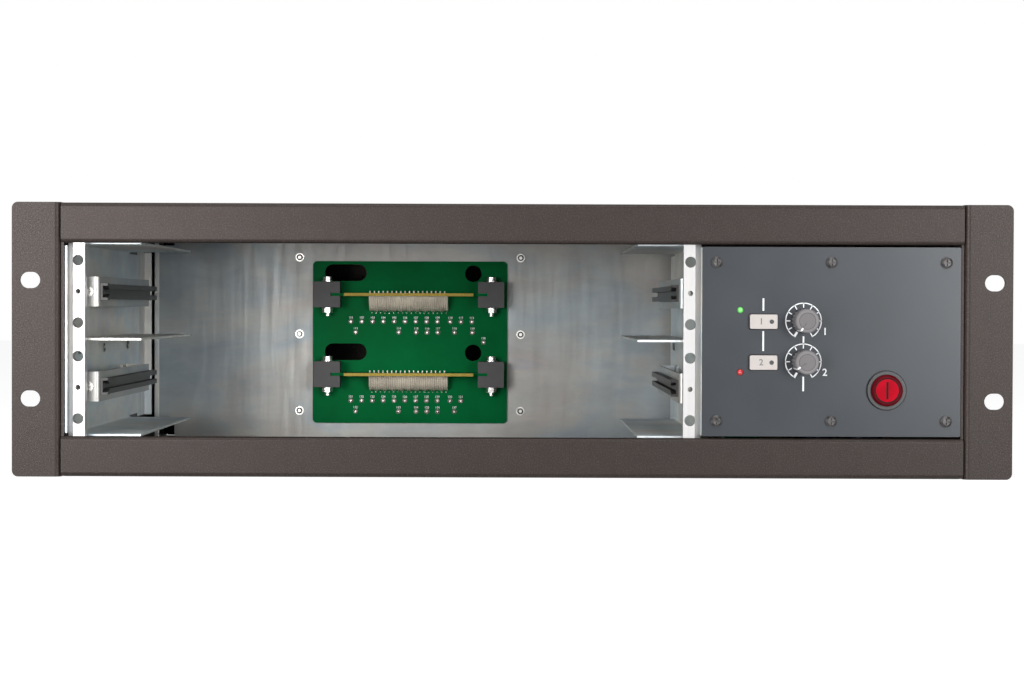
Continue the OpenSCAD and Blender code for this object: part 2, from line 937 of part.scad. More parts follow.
// The screws of the guide brackets, and the countersunk screws in the ends of the bars
module cage_screws() {
    color([0.78, 0.78, 0.76]) {
        for (s = [1, -1], b = bays)
            on_wall(s)
                bracket_screw(reach(s) - bracket_screw_inset, b * bay_pitch / 2);
        for (s = [1, -1], k = [-1, 1])
            on_wall(s)
                translate([bar_hole_inset, at(bar_front_d + bar_d / 2), k * case_h / 2])
                    mirror([0, 0, k > 0 ? 1 : 0])
                        difference() {
                            union() {
                                cylinder(d1 = bar_head_d, d2 = bar_screw_d, h = sheet);
                                cylinder(d = bar_screw_d, h = bar_screw_l);
                            }
                            cylinder(d = bar_screw_d / 2, h = sheet, $fn = 6);
                        }
    }
}

module bracket_screw(x, z) {
    seat = at(bracket_start_d);
    difference() {
        rod_y(x, z, seat - bracket_head_h, seat, bracket_head_d);
        cross_recess_y(x, z, seat - bracket_head_h, 3, 0.8);
    }
    rod_y(x, z, seat - bracket_head_h / 4, seat + cage_t + bracket_nut_h + 0.6, bracket_screw_d);
    translate([x, seat + cage_t, z])
        rotate([-90, 0, 0])
            cylinder(d = 5.4, h = bracket_nut_h, $fn = 6);
}

/* ---- backplane ---- */

module cage_back_panel() {
    c = back_t + cage_fold;
    y0 = at(back_d);
    flange = 12;
    color([0.60, 0.62, 0.60])
        difference() {
            union() {
                plate_z(-opening_h / 2 - 5, opening_h / 2 + 5)
                    for (s = [-1, 1])
                        translate([s < 0 ? back_left : back_right, 0])
                            mirror([s < 0 ? 0 : 1, 0]) {
                                translate([c, y0 + c])
                                    fold(cage_fold, back_t, -1, -1);
                                translate([0, y0 + c])
                                    square([back_t, flange - c]);
                            }
                span([back_left + c, y0, -opening_h / 2 - 5], [back_right - c, y0 + back_t, opening_h / 2 + 5]);
                plate_x(back_left + flange, back_right - flange)
                    for (s = [-1, 1])
                        mirror([0, s < 0 ? 1 : 0]) {
                            translate([y0, 0])
                                square([back_t, roof_z - c]);
                            translate([y0 + c, roof_z - c])
                                fold(cage_fold, back_t, -1, 1);
                            translate([y0 + c, roof_z - back_t])
                                square([flange - c, back_t]);
                        }
            }
            translate([card_x, 0, board_z])
                plate_y(y0 - over, y0 + back_t + over)
                    round_rect(board_w - 2 * board_margin, board_h - 2 * board_margin, 1.5);
            for (s = [-1, 1], z = rivet_rows)
                rod_y(card_x + s * rivet_offset, z, y0 - over, y0 + back_t + over, rivet_shank);
        }
}

module backplane_board() {
    y0 = at(board_front_d);
    color([0.07, 0.28, 0.16])
        plate_y(y0, y0 + board_t)
            difference() {
                translate([card_x, board_z])
                    round_rect(board_w, board_h, 2.5);
                for (b = bays) {
                    translate([cable_slot_x, b * bay_pitch / 2 + cable_slot_rise])
                        obround(cable_slot_l, cable_slot_h);
                    translate([board_hole_x, b * bay_pitch / 2 + cable_slot_rise - 0.4])
                        circle(d = board_hole_d);
                }
            }
}

// One soldered pad, standing out from the front of the board
module solder_dome(x, z, d) {
    translate([x, at(board_front_d), z])
        rotate([90, 0, 0])
            cylinder(d1 = d, d2 = d * 0.45, h = d * 0.24, $fn = 20);
}

// The two rows of pads that belong to one channel
module channel_pads(b) {
    top = b * bay_pitch / 2 - pad_drop;
    for (i = [0:pad_row - 1])
        if (b > 0 || i < pad_row - 1)
            solder_dome(card_x + pad_first + i * pad_pitch + (i > pad_gap_after ? pad_gap : 0), top, pad_d);
    for (x = pad_second_row)
        if (b > 0 || x < pad_second_row[len(pad_second_row) - 1])
            solder_dome(card_x + x, top - pad_row_step, pad_d);
}

module solder_joints() {
    color([0.70, 0.70, 0.66]) {
        for (b = bays)
            channel_pads(b);
        solder_dome(card_x + 43.1, -4.6, pad_d);
    }
}

// A connector strip: a small board on edge whose ends sit in the slots of the end blocks
module edge_strip(b) {
    z = b * bay_pitch / 2;
    back = at(board_front_d);
    end_x = block_pitch / 2 - block_w / 2 + block_slot - clear;
    color([0.62, 0.55, 0.38]) {
        span([card_x - strip_w / 2, back - strip_d, z - strip_t / 2], [card_x + strip_w / 2, back, z + strip_t / 2]);
        span([card_x - end_x, back - block_d + 1, z - strip_t / 2], [card_x + end_x, back, z + strip_t / 2]);
    }
}

module upper_edge_strip() {
    edge_strip(1);
}

module lower_edge_strip() {
    edge_strip(-1);
}

module end_block(s, b) {
    z = b * bay_pitch / 2;
    back = at(board_front_d);
    color([0.30, 0.29, 0.31])
        translate([card_x + s * block_pitch / 2, 0, z])
            difference() {
                plate_y(back - block_d, back)
                    round_rect(block_w, block_h, 0.6);
                span([s > 0 ? -block_w / 2 - over : block_w / 2 - block_slot, back - block_d - over, -strip_t / 2 - clear / 2],
                    [s > 0 ? -block_w / 2 + block_slot : block_w / 2 + over, back + over, strip_t / 2 + clear / 2]);
                rod_z(0, back - block_d / 2, -block_h, block_h, block_bolt_d + 2 * clear);
            }
}

module upper_left_end_block() {
    end_block(-1, 1);
}

module lower_left_end_block() {
    end_block(-1, -1);
}

module upper_right_end_block() {
    end_block(1, 1);
}

module lower_right_end_block() {
    end_block(1, -1);
}

// Contact pins stand above the strip, and two wires for each contact bend down to the board
module link_wires(b) {
    under = b * bay_pitch / 2 - strip_t / 2;
    back = at(board_front_d);
    color([0.74, 0.73, 0.70])
        for (i = [0:contacts - 1]) {
            x = card_x - 0.6 + (i - (contacts - 1) / 2) * contact_pitch;
            rod_z(x - contact_pitch / 4, back - wire_bend, under + strip_t, under + strip_t + 1.3, wire_d, $fn = 16);
            for (k = [-1, 1])
                translate([x + k * contact_pitch / 4, back, under])
                    rotate([-90, 0, -90])
                        rotate_extrude(angle = 90, $fn = 64)
                            translate([wire_bend, 0])
                                circle(d = wire_d, $fn = 16);
        }
}

module upper_link_wires() {
    link_wires(1);
}

module lower_link_wires() {
    link_wires(-1);
}

// The bolts of the end blocks, each with two washers and a nut
module block_bolts() {
    y = at(board_front_d - block_d / 2);
    low = -block_h / 2;
    color([0.76, 0.75, 0.72])
        for (s = [-1, 1], b = bays)
            translate([card_x + s * block_pitch / 2, y, b * bay_pitch / 2]) {
                difference() {
                    union() {
                        cylinder_from(block_h / 2, block_washer_h, block_washer_d);
                        cylinder_from(block_h / 2 + block_washer_h, block_bolt_head_h, block_bolt_head_d);
                        cylinder_from(low - block_washer_h - block_nut_h - 2,
                            block_h + 2 * block_washer_h + block_nut_h + 2 + over / 2, block_bolt_d);
                        cylinder_from(low - block_washer_h, block_washer_h, block_washer_d);
                        translate([0, 0, low - block_washer_h - block_nut_h])
                            cylinder(d = block_nut_d, h = block_nut_h, $fn = 6);
                    }
                    for (turn = [0, 90])
                        translate([0, 0, block_h / 2 + block_washer_h + block_bolt_head_h])
                            rotate([0, 0, turn])
                                cube([block_bolt_head_d * 0.6, 0.7, 1.6], center = true);
                }
            }
}

module cylinder_from(z, h, d) {
    translate([0, 0, z])
        cylinder(d = d, h = h);
}

/* ---- supply panel and controls ---- */

panel_screw_places = [for (i = [-1:1], z = [-1, 1]) [panel_x + i * panel_screw_pitch, z * panel_screw_rows / 2]];

module supply_front_panel() {
    y0 = at(panel_recess);
    y1 = y0 + panel_t;
    color([0.35, 0.37, 0.40])
        difference() {
            translate([panel_x, 0, 0])
                plate_y(y0, y1)
                    round_rect(panel_right - panel_left, panel_h, 0.8);
            for (p = panel_screw_places)
                rod_y(p[0], p[1], y0 - over, y1 + over, panel_screw_d + 2 * clear);
            for (z = [green_z, red_z])
                rod_y(panel_x + led_x, z, y0 - over, y1 + over, led_d + 2 * clear);
            for (z = button_z)
                translate([panel_x + button_x, 0, z])
                    plate_y(y0 - over, y1 + over)
                        round_rect(button_w + 2 * button_gap, button_h + 2 * button_gap, 0.9);
            for (z = knob_z)
                rod_y(panel_x + knob_x, z, y0 - over, y1 + over, bush_d + 2 * clear);
            rod_y(panel_x + mains_x, mains_z, y0 - over, y1 + over, switch_body_d + 2 * clear);
        }
}

module panel_screws() {
    seat = at(panel_recess);
    color([0.09, 0.09, 0.10])
        for (p = panel_screw_places)
            difference() {
                union() {
                    rod_y(p[0], p[1], seat - panel_head_h / 2, at(rail_back_d) - 2, panel_screw_d);
                    rod_y(p[0], p[1], seat - panel_head_h / 2, seat, panel_head_d);
                    translate([p[0], seat - panel_head_h / 2, p[1]])
                        rotate([90, 0, 0])
                            cylinder(d1 = panel_head_d, d2 = panel_head_d * 0.62, h = panel_head_h / 2);
                }
                cross_recess_y(p[0], p[1], seat - panel_head_h, 3, 1.1);
            }
}

// The two square bars behind the panel that its screws bite into
module panel_rails() {
    color([0.80, 0.80, 0.79])
        difference() {
            for (k = [-1, 1])
                span([bay_right + cage_t, at(rail_front_d), k * panel_screw_rows / 2 - rail_w / 2],
                    [wall_x, at(rail_back_d), k * panel_screw_rows / 2 + rail_w / 2]);
            for (p = panel_screw_places)
                rod_y(p[0], p[1], at(rail_front_d) - over, at(rail_back_d) + over, panel_screw_d);
            side_holes(ear_places, ear_screw_shank_d);
        }
}

module lamp(z) {
    x = panel_x + led_x;
    front = at(panel_recess);
    r = led_d / 2;
    translate([x, front, z])
        intersection() {
            sphere(r);
            span([-r, -r, -r], [r, 0, r]);
        }
    rod_y(x, z, front, at(rail_front_d) + 3, led_d);
    rod_y(x, z, at(rail_front_d), at(rail_front_d) + 1, led_d + 0.8);
    for (k = [-1, 1])
        span([x + k * 0.9 - 0.25, at(rail_front_d) + 2.8, z - 0.25], [x + k * 0.9 + 0.25, at(board_face_d), z + 0.25]);
}

module green_lamp() {
    color([0.45, 0.85, 0.15])
        lamp(green_z);
}

module red_lamp() {
    color([0.85, 0.12, 0.08])
        lamp(red_z);
}

// A push button: the cap and the square stem behind it
module push_button(z) {
    front = at(panel_recess - button_out);
    rear = at(switch_front_d - button_travel - 0.5);
    color([0.86, 0.85, 0.80])
        translate([panel_x + button_x, 0, z]) {
            plate_y(front, rear)
                round_rect(button_w, button_h, 0.7);
            span([-stem_w / 2, rear - over / 2, -stem_w / 2], [stem_w / 2, at(switch_front_d) + 5, stem_w / 2]);
        }
}

module phantom_button_1() {
    push_button(button_z[0]);
}

module phantom_button_2() {
    push_button(button_z[1]);
}

module push_switches() {
    bore = stem_w + 2 * stem_fit;
    color([0.15, 0.15, 0.17])
        for (z = button_z)
            translate([panel_x + button_x, 0, z])
                difference() {
                    plate_y(at(switch_front_d), at(board_face_d))
                        round_rect(switch_w, switch_w, 0.5);
                    span([-bore / 2, at(switch_front_d) - over, -bore / 2],
                        [bore / 2, at(switch_front_d + 5 + button_travel) + 1, bore / 2]);
                }
}

module output_knob(z) {
    front = at(panel_recess - knob_back) - knob_l;
    rear = at(panel_recess - knob_back);
    color([0.47, 0.46, 0.46])
        translate([panel_x + knob_x, 0, z])
            difference() {
                union() {
                    rod_y(0, 0, front + 0.5, rear, knob_d);
                    translate([0, front, 0])
                        rotate([-90, 0, 0])
                            cylinder(d1 = knob_d - 1, d2 = knob_d, h = 0.5);
                }
                for (i = [0:flutes - 1])
                    rotate([0, i * 360 / flutes, 0])
                        rod_y(knob_d / 2 + 0.15, 0, front + 1.6, rear + over, flute_d, $fn = 16);
                rod_y(0, 0, front - over, front + cap_depth, knob_cap_d + 2 * cap_wall);
                rod_y(0, 0, rear - shaft_in_knob, rear + over, knob_bore);
                rod_y(0, 0, rear - pot_nut_h, rear + over, pot_nut_d + 0.6);
            }
}

module output_knob_1() {
    output_knob(knob_z[0]);
}

module output_knob_2() {
    output_knob(knob_z[1]);
}

// The cap in the front of a knob, with a shallow pointer groove
module knob_cap(z, turn) {
    front = at(panel_recess - knob_back) - knob_l;
    color([0.56, 0.55, 0.55])
        translate([panel_x + knob_x, 0, z])
            difference() {
                rod_y(0, 0, front, front + cap_depth, knob_cap_d);
                rotate([0, turn, 0])
                    span([-0.4, front - over, 1], [0.4, front + 0.3, knob_cap_d]);
            }
}

module knob_cap_1() {
    knob_cap(knob_z[0], knob_turn[0]);
}

module knob_cap_2() {
    knob_cap(knob_z[1], knob_turn[1]);
}

module pot_shaft(z) {
    tip = at(panel_recess - knob_back) - shaft_in_knob;
    color([0.80, 0.78, 0.70])
        rod_y(panel_x + knob_x, z, tip, at(pot_front_d) + 3.5, shaft_d);
}

module pot_shaft_1() {
    pot_shaft(knob_z[0]);
}

module pot_shaft_2() {
    pot_shaft(knob_z[1]);
}

// A potentiometer: body on the control board, threaded bush through the panel and its round nut
module output_pot(z) {
    x = panel_x + knob_x;
    color([0.55, 0.52, 0.45])
        difference() {
            union() {
                translate([x, 0, z])
                    plate_y(at(pot_front_d), at(board_face_d))
                        round_rect(pot_w, pot_w, 2);
                rod_y(x, z, at(panel_recess) - pot_nut_h - 0.2, at(pot_front_d) + over, bush_d);
                rod_y(x, z, at(panel_recess) - pot_nut_h, at(panel_recess), pot_nut_d);
            }
            rod_y(x, z, at(panel_recess) - pot_nut_h - over, at(pot_front_d) + 4, shaft_d + 2 * pot_fit);
        }
}

pot_fit = 0.05;

module output_pot_1() {
    output_pot(knob_z[0]);
}

module output_pot_2() {
    output_pot(knob_z[1]);
}

module mains_button() {
    front = at(panel_recess - mains_out);
    color([0.70, 0.09, 0.07])
        translate([panel_x + mains_x, 0, mains_z]) {
            translate([0, front, 0])
                rotate([-90, 0, 0])
                    cylinder(d1 = mains_d - 1.6, d2 = mains_d, h = 0.8);
            rod_y(0, 0, front + 0.8, at(panel_recess) + 5, mains_d);
            rod_y(0, 0, at(panel_recess) + 4, at(panel_recess) + 15, stem_w + 1);
        }
}

module mains_switch() {
    y0 = at(panel_recess);
    color([0.08, 0.08, 0.08])
        translate([panel_x + mains_x, 0, mains_z])
            difference() {
                union() {
                    translate([0, y0 - bezel_h, 0])
                        rotate([-90, 0, 0])
                            cylinder(d1 = bezel_d - 0.8, d2 = bezel_d, h = bezel_h / 2);
                    rod_y(0, 0, y0 - bezel_h / 2, y0, bezel_d);
                    rod_y(0, 0, y0 - bezel_h / 2, y0 + switch_body_l, switch_body_d);
                }
                rod_y(0, 0, y0 - bezel_h - over, y0 + 5 + mains_travel + 0.5, mains_bore);
                rod_y(0, 0, y0, y0 + 15 + mains_travel + 0.5, stem_w + 1.2);
            }
}

module control_board() {
    color([0.08, 0.30, 0.18])
        span([panel_x + led_x - 5, at(board_face_d), -28],
            [panel_x + knob_x + pot_w, at(board_face_d + control_board_t), 28]);
}

/* ---- power supply ---- */

module transformer() {
    r0 = toroid_bore / 2;
    r1 = toroid_d / 2;
    c = toroid_round;
    color([0.75, 0.62, 0.20])
        translate([toroid_x, at(toroid_y_d), floor_z + toroid_pad])
            rotate_extrude($fn = 64)
                translate([(r0 + r1) / 2, toroid_h / 2])
                    round_rect(r1 - r0, toroid_h, min(c, (r1 - r0) / 2 - 0.5));
}

// Rubber pad under the ring, dished plate over it and the bolt down its middle
module transformer_clamp() {
    top = floor_z + toroid_pad + toroid_h;
    color([0.70, 0.69, 0.66])
        translate([toroid_x, at(toroid_y_d), 0]) {
            difference() {
                cylinder_from(floor_z, toroid_pad, toroid_d - 16);
                cylinder_from(floor_z - over, toroid_pad + 2 * over, clamp_d + 4 * clear);
            }
            cylinder_from(top, 2, toroid_d - 24);
            cylinder_from(top + 2, 4, 10);
            cylinder_from(-case_h / 2 + fit, top + case_h / 2, clamp_d);
        }
}

module power_board() {
    x0 = power_board_x - power_board_w / 2;
    y0 = at(power_board_start_d);
    top = power_board_z + control_board_t;
    sink_x = x0 + 6;
    color([0.10, 0.30, 0.17]) {
        span([x0, y0, power_board_z], [x0 + power_board_w, y0 + power_board_l, top]);
        for (sx = [standoff_d, power_board_w - standoff_d], sy = [standoff_d, power_board_l - standoff_d])
            rod_z(x0 + sx, y0 + sy, floor_z, power_board_z, standoff_d);
        // Heat sink with upright fins
        span([sink_x, y0 + 20, top], [sink_x + 4, y0 + 20 + sink_w, top + sink_h]);
        for (i = [0:fins - 1])
            span([sink_x + 4, y0 + 20 + i * (sink_w - 2) / (fins - 1), top], [sink_x + 18, y0 + 22 + i * (sink_w - 2) / (fins - 1), top + sink_h]);
    }
}

module smoothing_capacitors() {
    top = power_board_z + control_board_t;
    color([0.12, 0.16, 0.30])
        for (i = [0:1], j = [0:1])
            rod_z(power_board_x + 5 + i * (capacitor_d + 4), at(power_board_start_d + 40 + j * (capacitor_d + 6)),
                top, top + capacitor_h, capacitor_d);
}

/* ---- rear connectors ---- */

inlet_wall = 1.8;
inlet_cavity = 16;
inlet_flange = 2.5;

module mains_inlet() {
    y1 = at(case_d);
    cavity_w = inlet_w - 2 * inlet_wall - 2 * clear;
    cavity_h = inlet_h - 2 * inlet_wall - 2 * clear;
    color([0.09, 0.09, 0.09])
        translate([inlet_x, 0, inlet_z]) {
            difference() {
                union() {
                    plate_y(y1, y1 + inlet_flange)
                        round_rect(inlet_hole_pitch + 10, inlet_h + 4, 3);
                    plate_y(y1 + inlet_flange - inlet_cavity - 8, y1 + over)
                        square([inlet_w - 2 * clear, inlet_h - 2 * clear], center = true);
                }
                plate_y(y1 + inlet_flange - inlet_cavity, y1 + inlet_flange + over)
                    polygon([[-cavity_w / 2, -cavity_h / 2], [cavity_w / 2, -cavity_h / 2],
                        [cavity_w / 2, cavity_h / 2 - 5], [cavity_w / 2 - 5, cavity_h / 2],
                        [5 - cavity_w / 2, cavity_h / 2], [-cavity_w / 2, cavity_h / 2 - 5]]);
                for (s = [-1, 1])
                    rod_y(s * inlet_hole_pitch / 2, 0, y1 - over, y1 + inlet_flange + over, case_screw_d + 2 * clear);
            }
            for (p = [[-7, -3], [0, 1], [7, -3]])
                span([p[0] - 1, y1 + inlet_flange - inlet_cavity - over, p[1] - 2], [p[0] + 1, y1 - 1, p[1] + 2]);
        }
}

// A round three-pole socket in a rectangular flange, with pins or with holes
module audio_socket(pins) {
    y1 = at(case_d);
    places = [for (a = [-52, 52, 180]) [4.3 * sin(a), 4.3 * cos(a)]];
    difference() {
        union() {
            plate_y(y1, y1 + 2)
                round_rect(socket_w, socket_h, 2);
            rod_y(0, 0, y1 - 18, y1 + 2, 2 * socket_r - 2 * clear);
        }
        if (pins)
            rod_y(0, 0, y1 - 11, y1 + 2 + over, 18.8);
        else
            for (p = places)
                rod_y(p[0], p[1], y1 - 10, y1 + 2 + over, 2.8);
        for (s = [-1, 1])
            rod_y(s * 9.5, -s * 12, y1 - over, y1 + 2 + over, 3.2);
    }
    if (pins)
        for (p = places)
            rod_y(p[0], p[1], y1 - 11 - over, y1 - 0.5, 2.4);
}

module audio_sockets() {
    color([0.16, 0.16, 0.17])
        for (i = [0:len(socket_x) - 1])
            translate([socket_x[i], 0, socket_z])
                audio_socket(i > 1);
}

chassis();
top_cover();
rear_panel();
left_rack_ear();
right_rack_ear();
ear_screws();
case_screws();
left_mounting_bar();
right_mounting_bar();
left_cage_side();
right_cage_side();
left_middle_shelf();
right_middle_shelf();
cage_rivets();
cage_screws();
upper_left_guide_bracket();
lower_left_guide_bracket();
upper_right_guide_bracket();
lower_right_guide_bracket();
upper_left_card_guide();
lower_left_card_guide();
upper_right_card_guide();
lower_right_card_guide();
cage_back_panel();
backplane_board();
solder_joints();
upper_edge_strip();
lower_edge_strip();
upper_left_end_block();
lower_left_end_block();
upper_right_end_block();
lower_right_end_block();
upper_link_wires();
lower_link_wires();
block_bolts();
supply_front_panel();
panel_screws();
panel_rails();
green_lamp();
red_lamp();
phantom_button_1();
phantom_button_2();
push_switches();
output_knob_1();
output_knob_2();
knob_cap_1();
knob_cap_2();
pot_shaft_1();
pot_shaft_2();
output_pot_1();
output_pot_2();
mains_button();
mains_switch();
control_board();
transformer();
transformer_clamp();
power_board();
smoothing_capacitors();
mains_inlet();
audio_sockets();
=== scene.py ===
# %% [markdown]
# # A rack-mounting card cage, dressed in Blender
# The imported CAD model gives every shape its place, so this script never moves it. It adds the
# camera, the light, a finish for each material slot, and the printed and inlaid details that
# sheet and plastic carry. Lengths are in metres, X runs to the right, Y to the back and Z up. The
# small helper mm() lets a maker's millimetres stay readable.

# %% Load the frame
import json
import math

import bmesh
import bpy
from mathutils import Matrix, Vector


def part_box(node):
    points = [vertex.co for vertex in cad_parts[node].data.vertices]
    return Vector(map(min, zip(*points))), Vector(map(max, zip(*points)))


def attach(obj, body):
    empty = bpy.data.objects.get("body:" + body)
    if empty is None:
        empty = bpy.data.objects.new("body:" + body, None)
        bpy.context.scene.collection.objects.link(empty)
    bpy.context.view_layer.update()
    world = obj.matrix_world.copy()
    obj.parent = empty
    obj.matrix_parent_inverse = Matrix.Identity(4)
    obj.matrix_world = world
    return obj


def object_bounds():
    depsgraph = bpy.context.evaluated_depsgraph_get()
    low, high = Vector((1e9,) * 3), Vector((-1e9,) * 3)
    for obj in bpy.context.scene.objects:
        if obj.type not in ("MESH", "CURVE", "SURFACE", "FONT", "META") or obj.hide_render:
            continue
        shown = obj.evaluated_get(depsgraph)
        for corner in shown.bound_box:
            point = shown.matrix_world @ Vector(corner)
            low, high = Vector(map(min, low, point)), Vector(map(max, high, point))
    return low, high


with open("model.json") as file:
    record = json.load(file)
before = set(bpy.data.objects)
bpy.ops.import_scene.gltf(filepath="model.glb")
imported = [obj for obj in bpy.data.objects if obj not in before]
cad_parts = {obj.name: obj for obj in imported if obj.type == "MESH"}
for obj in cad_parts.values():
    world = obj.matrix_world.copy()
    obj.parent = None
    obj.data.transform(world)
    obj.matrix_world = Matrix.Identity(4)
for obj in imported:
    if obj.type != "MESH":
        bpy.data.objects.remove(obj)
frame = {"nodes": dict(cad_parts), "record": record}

cad_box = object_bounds()
scene = bpy.context.scene


def mm(*values):
    """Millimetres to metres, for one value or several."""
    scaled = [value / 1000 for value in values]
    return scaled[0] if len(scaled) == 1 else tuple(scaled)


# %% [markdown]
# ## The camera
# The object is seen square on, from a little above its middle and with a longish lens, so its
# walls close in only gently towards the back panel. The lens height sets where the shelves show
# their upper faces, so the camera is placed first and everything else is judged through it.

# %% Camera
camera_data = bpy.data.cameras.new("camera")
camera_data.sensor_width = 36
camera_data.lens = 77.7
camera_data.clip_start = mm(10)
camera_data.clip_end = 20
camera = bpy.data.objects.new("camera", camera_data)
camera.location = mm(-0.25, -1067.1, 16.9)
tilt_down = math.radians(0.924)
roll = math.radians(-0.197)
camera.rotation_euler = (math.radians(90) - tilt_down, roll, 0)
scene.collection.objects.link(camera)
scene.camera = camera
print("camera", [round(c, 3) for c in camera.location])

# %% [markdown]
# ## World and floor
# The object stands on a plain white ground. The world is white only for the rays that see it
# directly, in a mirror or through glass, and a softer grey for the light that it sheds, so the
# object isn't bleached. The floor works in the same way: bright to the eye, a plain pale floor to
# everything else, and it still takes the shadow.

# %% World
world = bpy.data.worlds.new("studio")
scene.world = world
world.use_nodes = True
world_nodes, world_links = world.node_tree.nodes, world.node_tree.links
world_nodes.clear()


def seen_directly(nodes, links, kinds=("Is Camera Ray", "Is Glossy Ray", "Is Transmission Ray")):
    """1 for the rays that look at a thing, 0 for those that only carry its light."""
    path = nodes.new("ShaderNodeLightPath")
    total = path.outputs[kinds[0]]
    for kind in kinds[1:]:
        either = nodes.new("ShaderNodeMath")
        either.operation = "MAXIMUM"
        links.new(total, either.inputs[0])
        links.new(path.outputs[kind], either.inputs[1])
        total = either.outputs[0]
    return total


ambient = world_nodes.new("ShaderNodeBackground")
ambient.inputs["Color"].default_value = (0.93, 0.96, 1.0, 1)
ambient.inputs["Strength"].default_value = 0.25
white_ground = world_nodes.new("ShaderNodeBackground")
white_ground.inputs["Color"].default_value = (1, 1, 1, 1)
white_ground.inputs["Strength"].default_value = 1.0
either_ground = world_nodes.new("ShaderNodeMixShader")
world_output = world_nodes.new("ShaderNodeOutputWorld")
world_links.new(seen_directly(world_nodes, world_links), either_ground.inputs[0])
world_links.new(ambient.outputs[0], either_ground.inputs[1])
world_links.new(white_ground.outputs[0], either_ground.inputs[2])
world_links.new(either_ground.outputs[0], world_output.inputs["Surface"])
scene.view_settings.view_transform = "Standard"
print("world ready")

# %% Floor
floor_half = 4.0
shape = bmesh.new()
bmesh.ops.create_grid(shape, x_segments=1, y_segments=1, size=floor_half)
bmesh.ops.translate(shape, vec=(0, 0, cad_box[0][2] - mm(0.1)), verts=shape.verts)
floor_mesh = bpy.data.meshes.new("floor")
shape.to_mesh(floor_mesh)
shape.free()
floor = bpy.data.objects.new("floor", floor_mesh)
scene.collection.objects.link(floor)

floor_finish = bpy.data.materials.new("pale_floor")
floor_finish.use_nodes = True
nodes, links = floor_finish.node_tree.nodes, floor_finish.node_tree.links
nodes.clear()
pale = nodes.new("ShaderNodeBsdfDiffuse")
pale.inputs["Color"].default_value = (0.72, 0.72, 0.71, 1)
soft_shadow = nodes.new("ShaderNodeBsdfDiffuse")
soft_shadow.inputs["Color"].default_value = (0.34, 0.34, 0.34, 1)
glow = nodes.new("ShaderNodeEmission")
glow.inputs["Strength"].default_value = 0.86
seen = nodes.new("ShaderNodeAddShader")
choice = nodes.new("ShaderNodeMixShader")
floor_output = nodes.new("ShaderNodeOutputMaterial")
links.new(soft_shadow.outputs[0], seen.inputs[0])
links.new(glow.outputs[0], seen.inputs[1])
links.new(seen_directly(nodes, links), choice.inputs[0])
links.new(pale.outputs[0], choice.inputs[1])
links.new(seen.outputs[0], choice.inputs[2])
links.new(choice.outputs[0], floor_output.inputs["Surface"])
floor_mesh.materials.append(floor_finish)
print("floor at", round(cad_box[0][2], 4))

# %% [markdown]
# ## Soft light
# Two tall soft boxes stand in front, left and right. Seen from the camera their mirror images lie
# just past the object's ends, so the ends carry a sheen and the middle of each rail stays darker.
# A smaller box on the left looks into the cage and lights the board, and a wide one overhead
# keeps the top faces from going dull.

# %% Lamps


def soft_box(name, place, aim, width, height, watts, tint=(1, 1, 1)):
    data = bpy.data.lights.new(name, "AREA")
    data.shape = "RECTANGLE"
    data.size, data.size_y = width, height
    data.energy = watts
    data.color = tint
    lamp = bpy.data.objects.new(name, data)
    lamp.location = place
    lamp.rotation_euler = (Vector(aim) - Vector(place)).to_track_quat("-Z", "Y").to_euler()
    scene.collection.objects.link(lamp)


soft_box("left_soft_box", (-0.62, -1.20, 0.08), (-0.10, 0.05, 0),
         width=0.36, height=0.6, watts=12.0, tint=(1.0, 0.985, 0.97))
soft_box("right_soft_box", (0.68, -1.20, 0.08), (0.12, 0.05, 0),
         width=0.36, height=0.6, watts=11.5, tint=(0.97, 0.985, 1.0))
soft_box("inner_soft_box", (-0.36, -1.15, 0.05), (-0.12, 0.23, 0),
         width=0.3, height=0.2, watts=1.7)
soft_box("top_soft_box", (0, -0.7, 1.3), (0, -0.5, -0.07),
         width=1.4, height=0.7, watts=10)

# %% [markdown]
# ## Helpers for finishes
# A finish is a Principled shader whose colour, roughness and relief come from a few patterns in
# object coordinates. Those are in metres on every piece, so a noise scale of 1000 makes grains
# about a millimetre across. The helpers keep each finish to a handful of lines.

# %% Finish helpers
finishes = {}


def new_finish(name, color, roughness, metallic=0.0, specular=0.5, coat=0.0, coat_roughness=0.1):
    finish = bpy.data.materials.new(name)
    finish.use_nodes = True
    shader = finish.node_tree.nodes["Principled BSDF"]
    shader.inputs["Base Color"].default_value = (*color, 1)
    shader.inputs["Roughness"].default_value = roughness
    shader.inputs["Metallic"].default_value = metallic
    shader.inputs["Specular IOR Level"].default_value = specular
    shader.inputs["Coat Weight"].default_value = coat
    shader.inputs["Coat Roughness"].default_value = coat_roughness
    finishes[name] = finish
    return finish


def add_node(finish, kind, **settings):
    node = finish.node_tree.nodes.new(kind)
    for key, value in settings.items():
        setattr(node, key, value)
    return node


def feed(finish, value, socket):
    """A link where value is a socket, else a plain number on the socket."""
    if isinstance(value, bpy.types.NodeSocket):
        finish.node_tree.links.new(value, socket)
    else:
        socket.default_value = value


def coordinates(finish, stretch=(1, 1, 1), centre=(0, 0, 0)):
    """Object coordinates about a centre, stretched along each axis."""
    source = add_node(finish, "ShaderNodeTexCoord")
    mapping = add_node(finish, "ShaderNodeMapping")
    mapping.inputs["Scale"].default_value = stretch
    mapping.inputs["Location"].default_value = [-c * s for c, s in zip(centre, stretch)]
    feed(finish, source.outputs["Object"], mapping.inputs["Vector"])
    return mapping.outputs["Vector"]


def grain(finish, scale, detail=2.0, stretch=(1, 1, 1), distortion=0.0, rough=0.5):
    noise = add_node(finish, "ShaderNodeTexNoise")
    feed(finish, coordinates(finish, stretch), noise.inputs["Vector"])
    noise.inputs["Scale"].default_value = scale
    noise.inputs["Detail"].default_value = detail
    noise.inputs["Roughness"].default_value = rough
    noise.inputs["Distortion"].default_value = distortion
    return noise.outputs["Fac"]


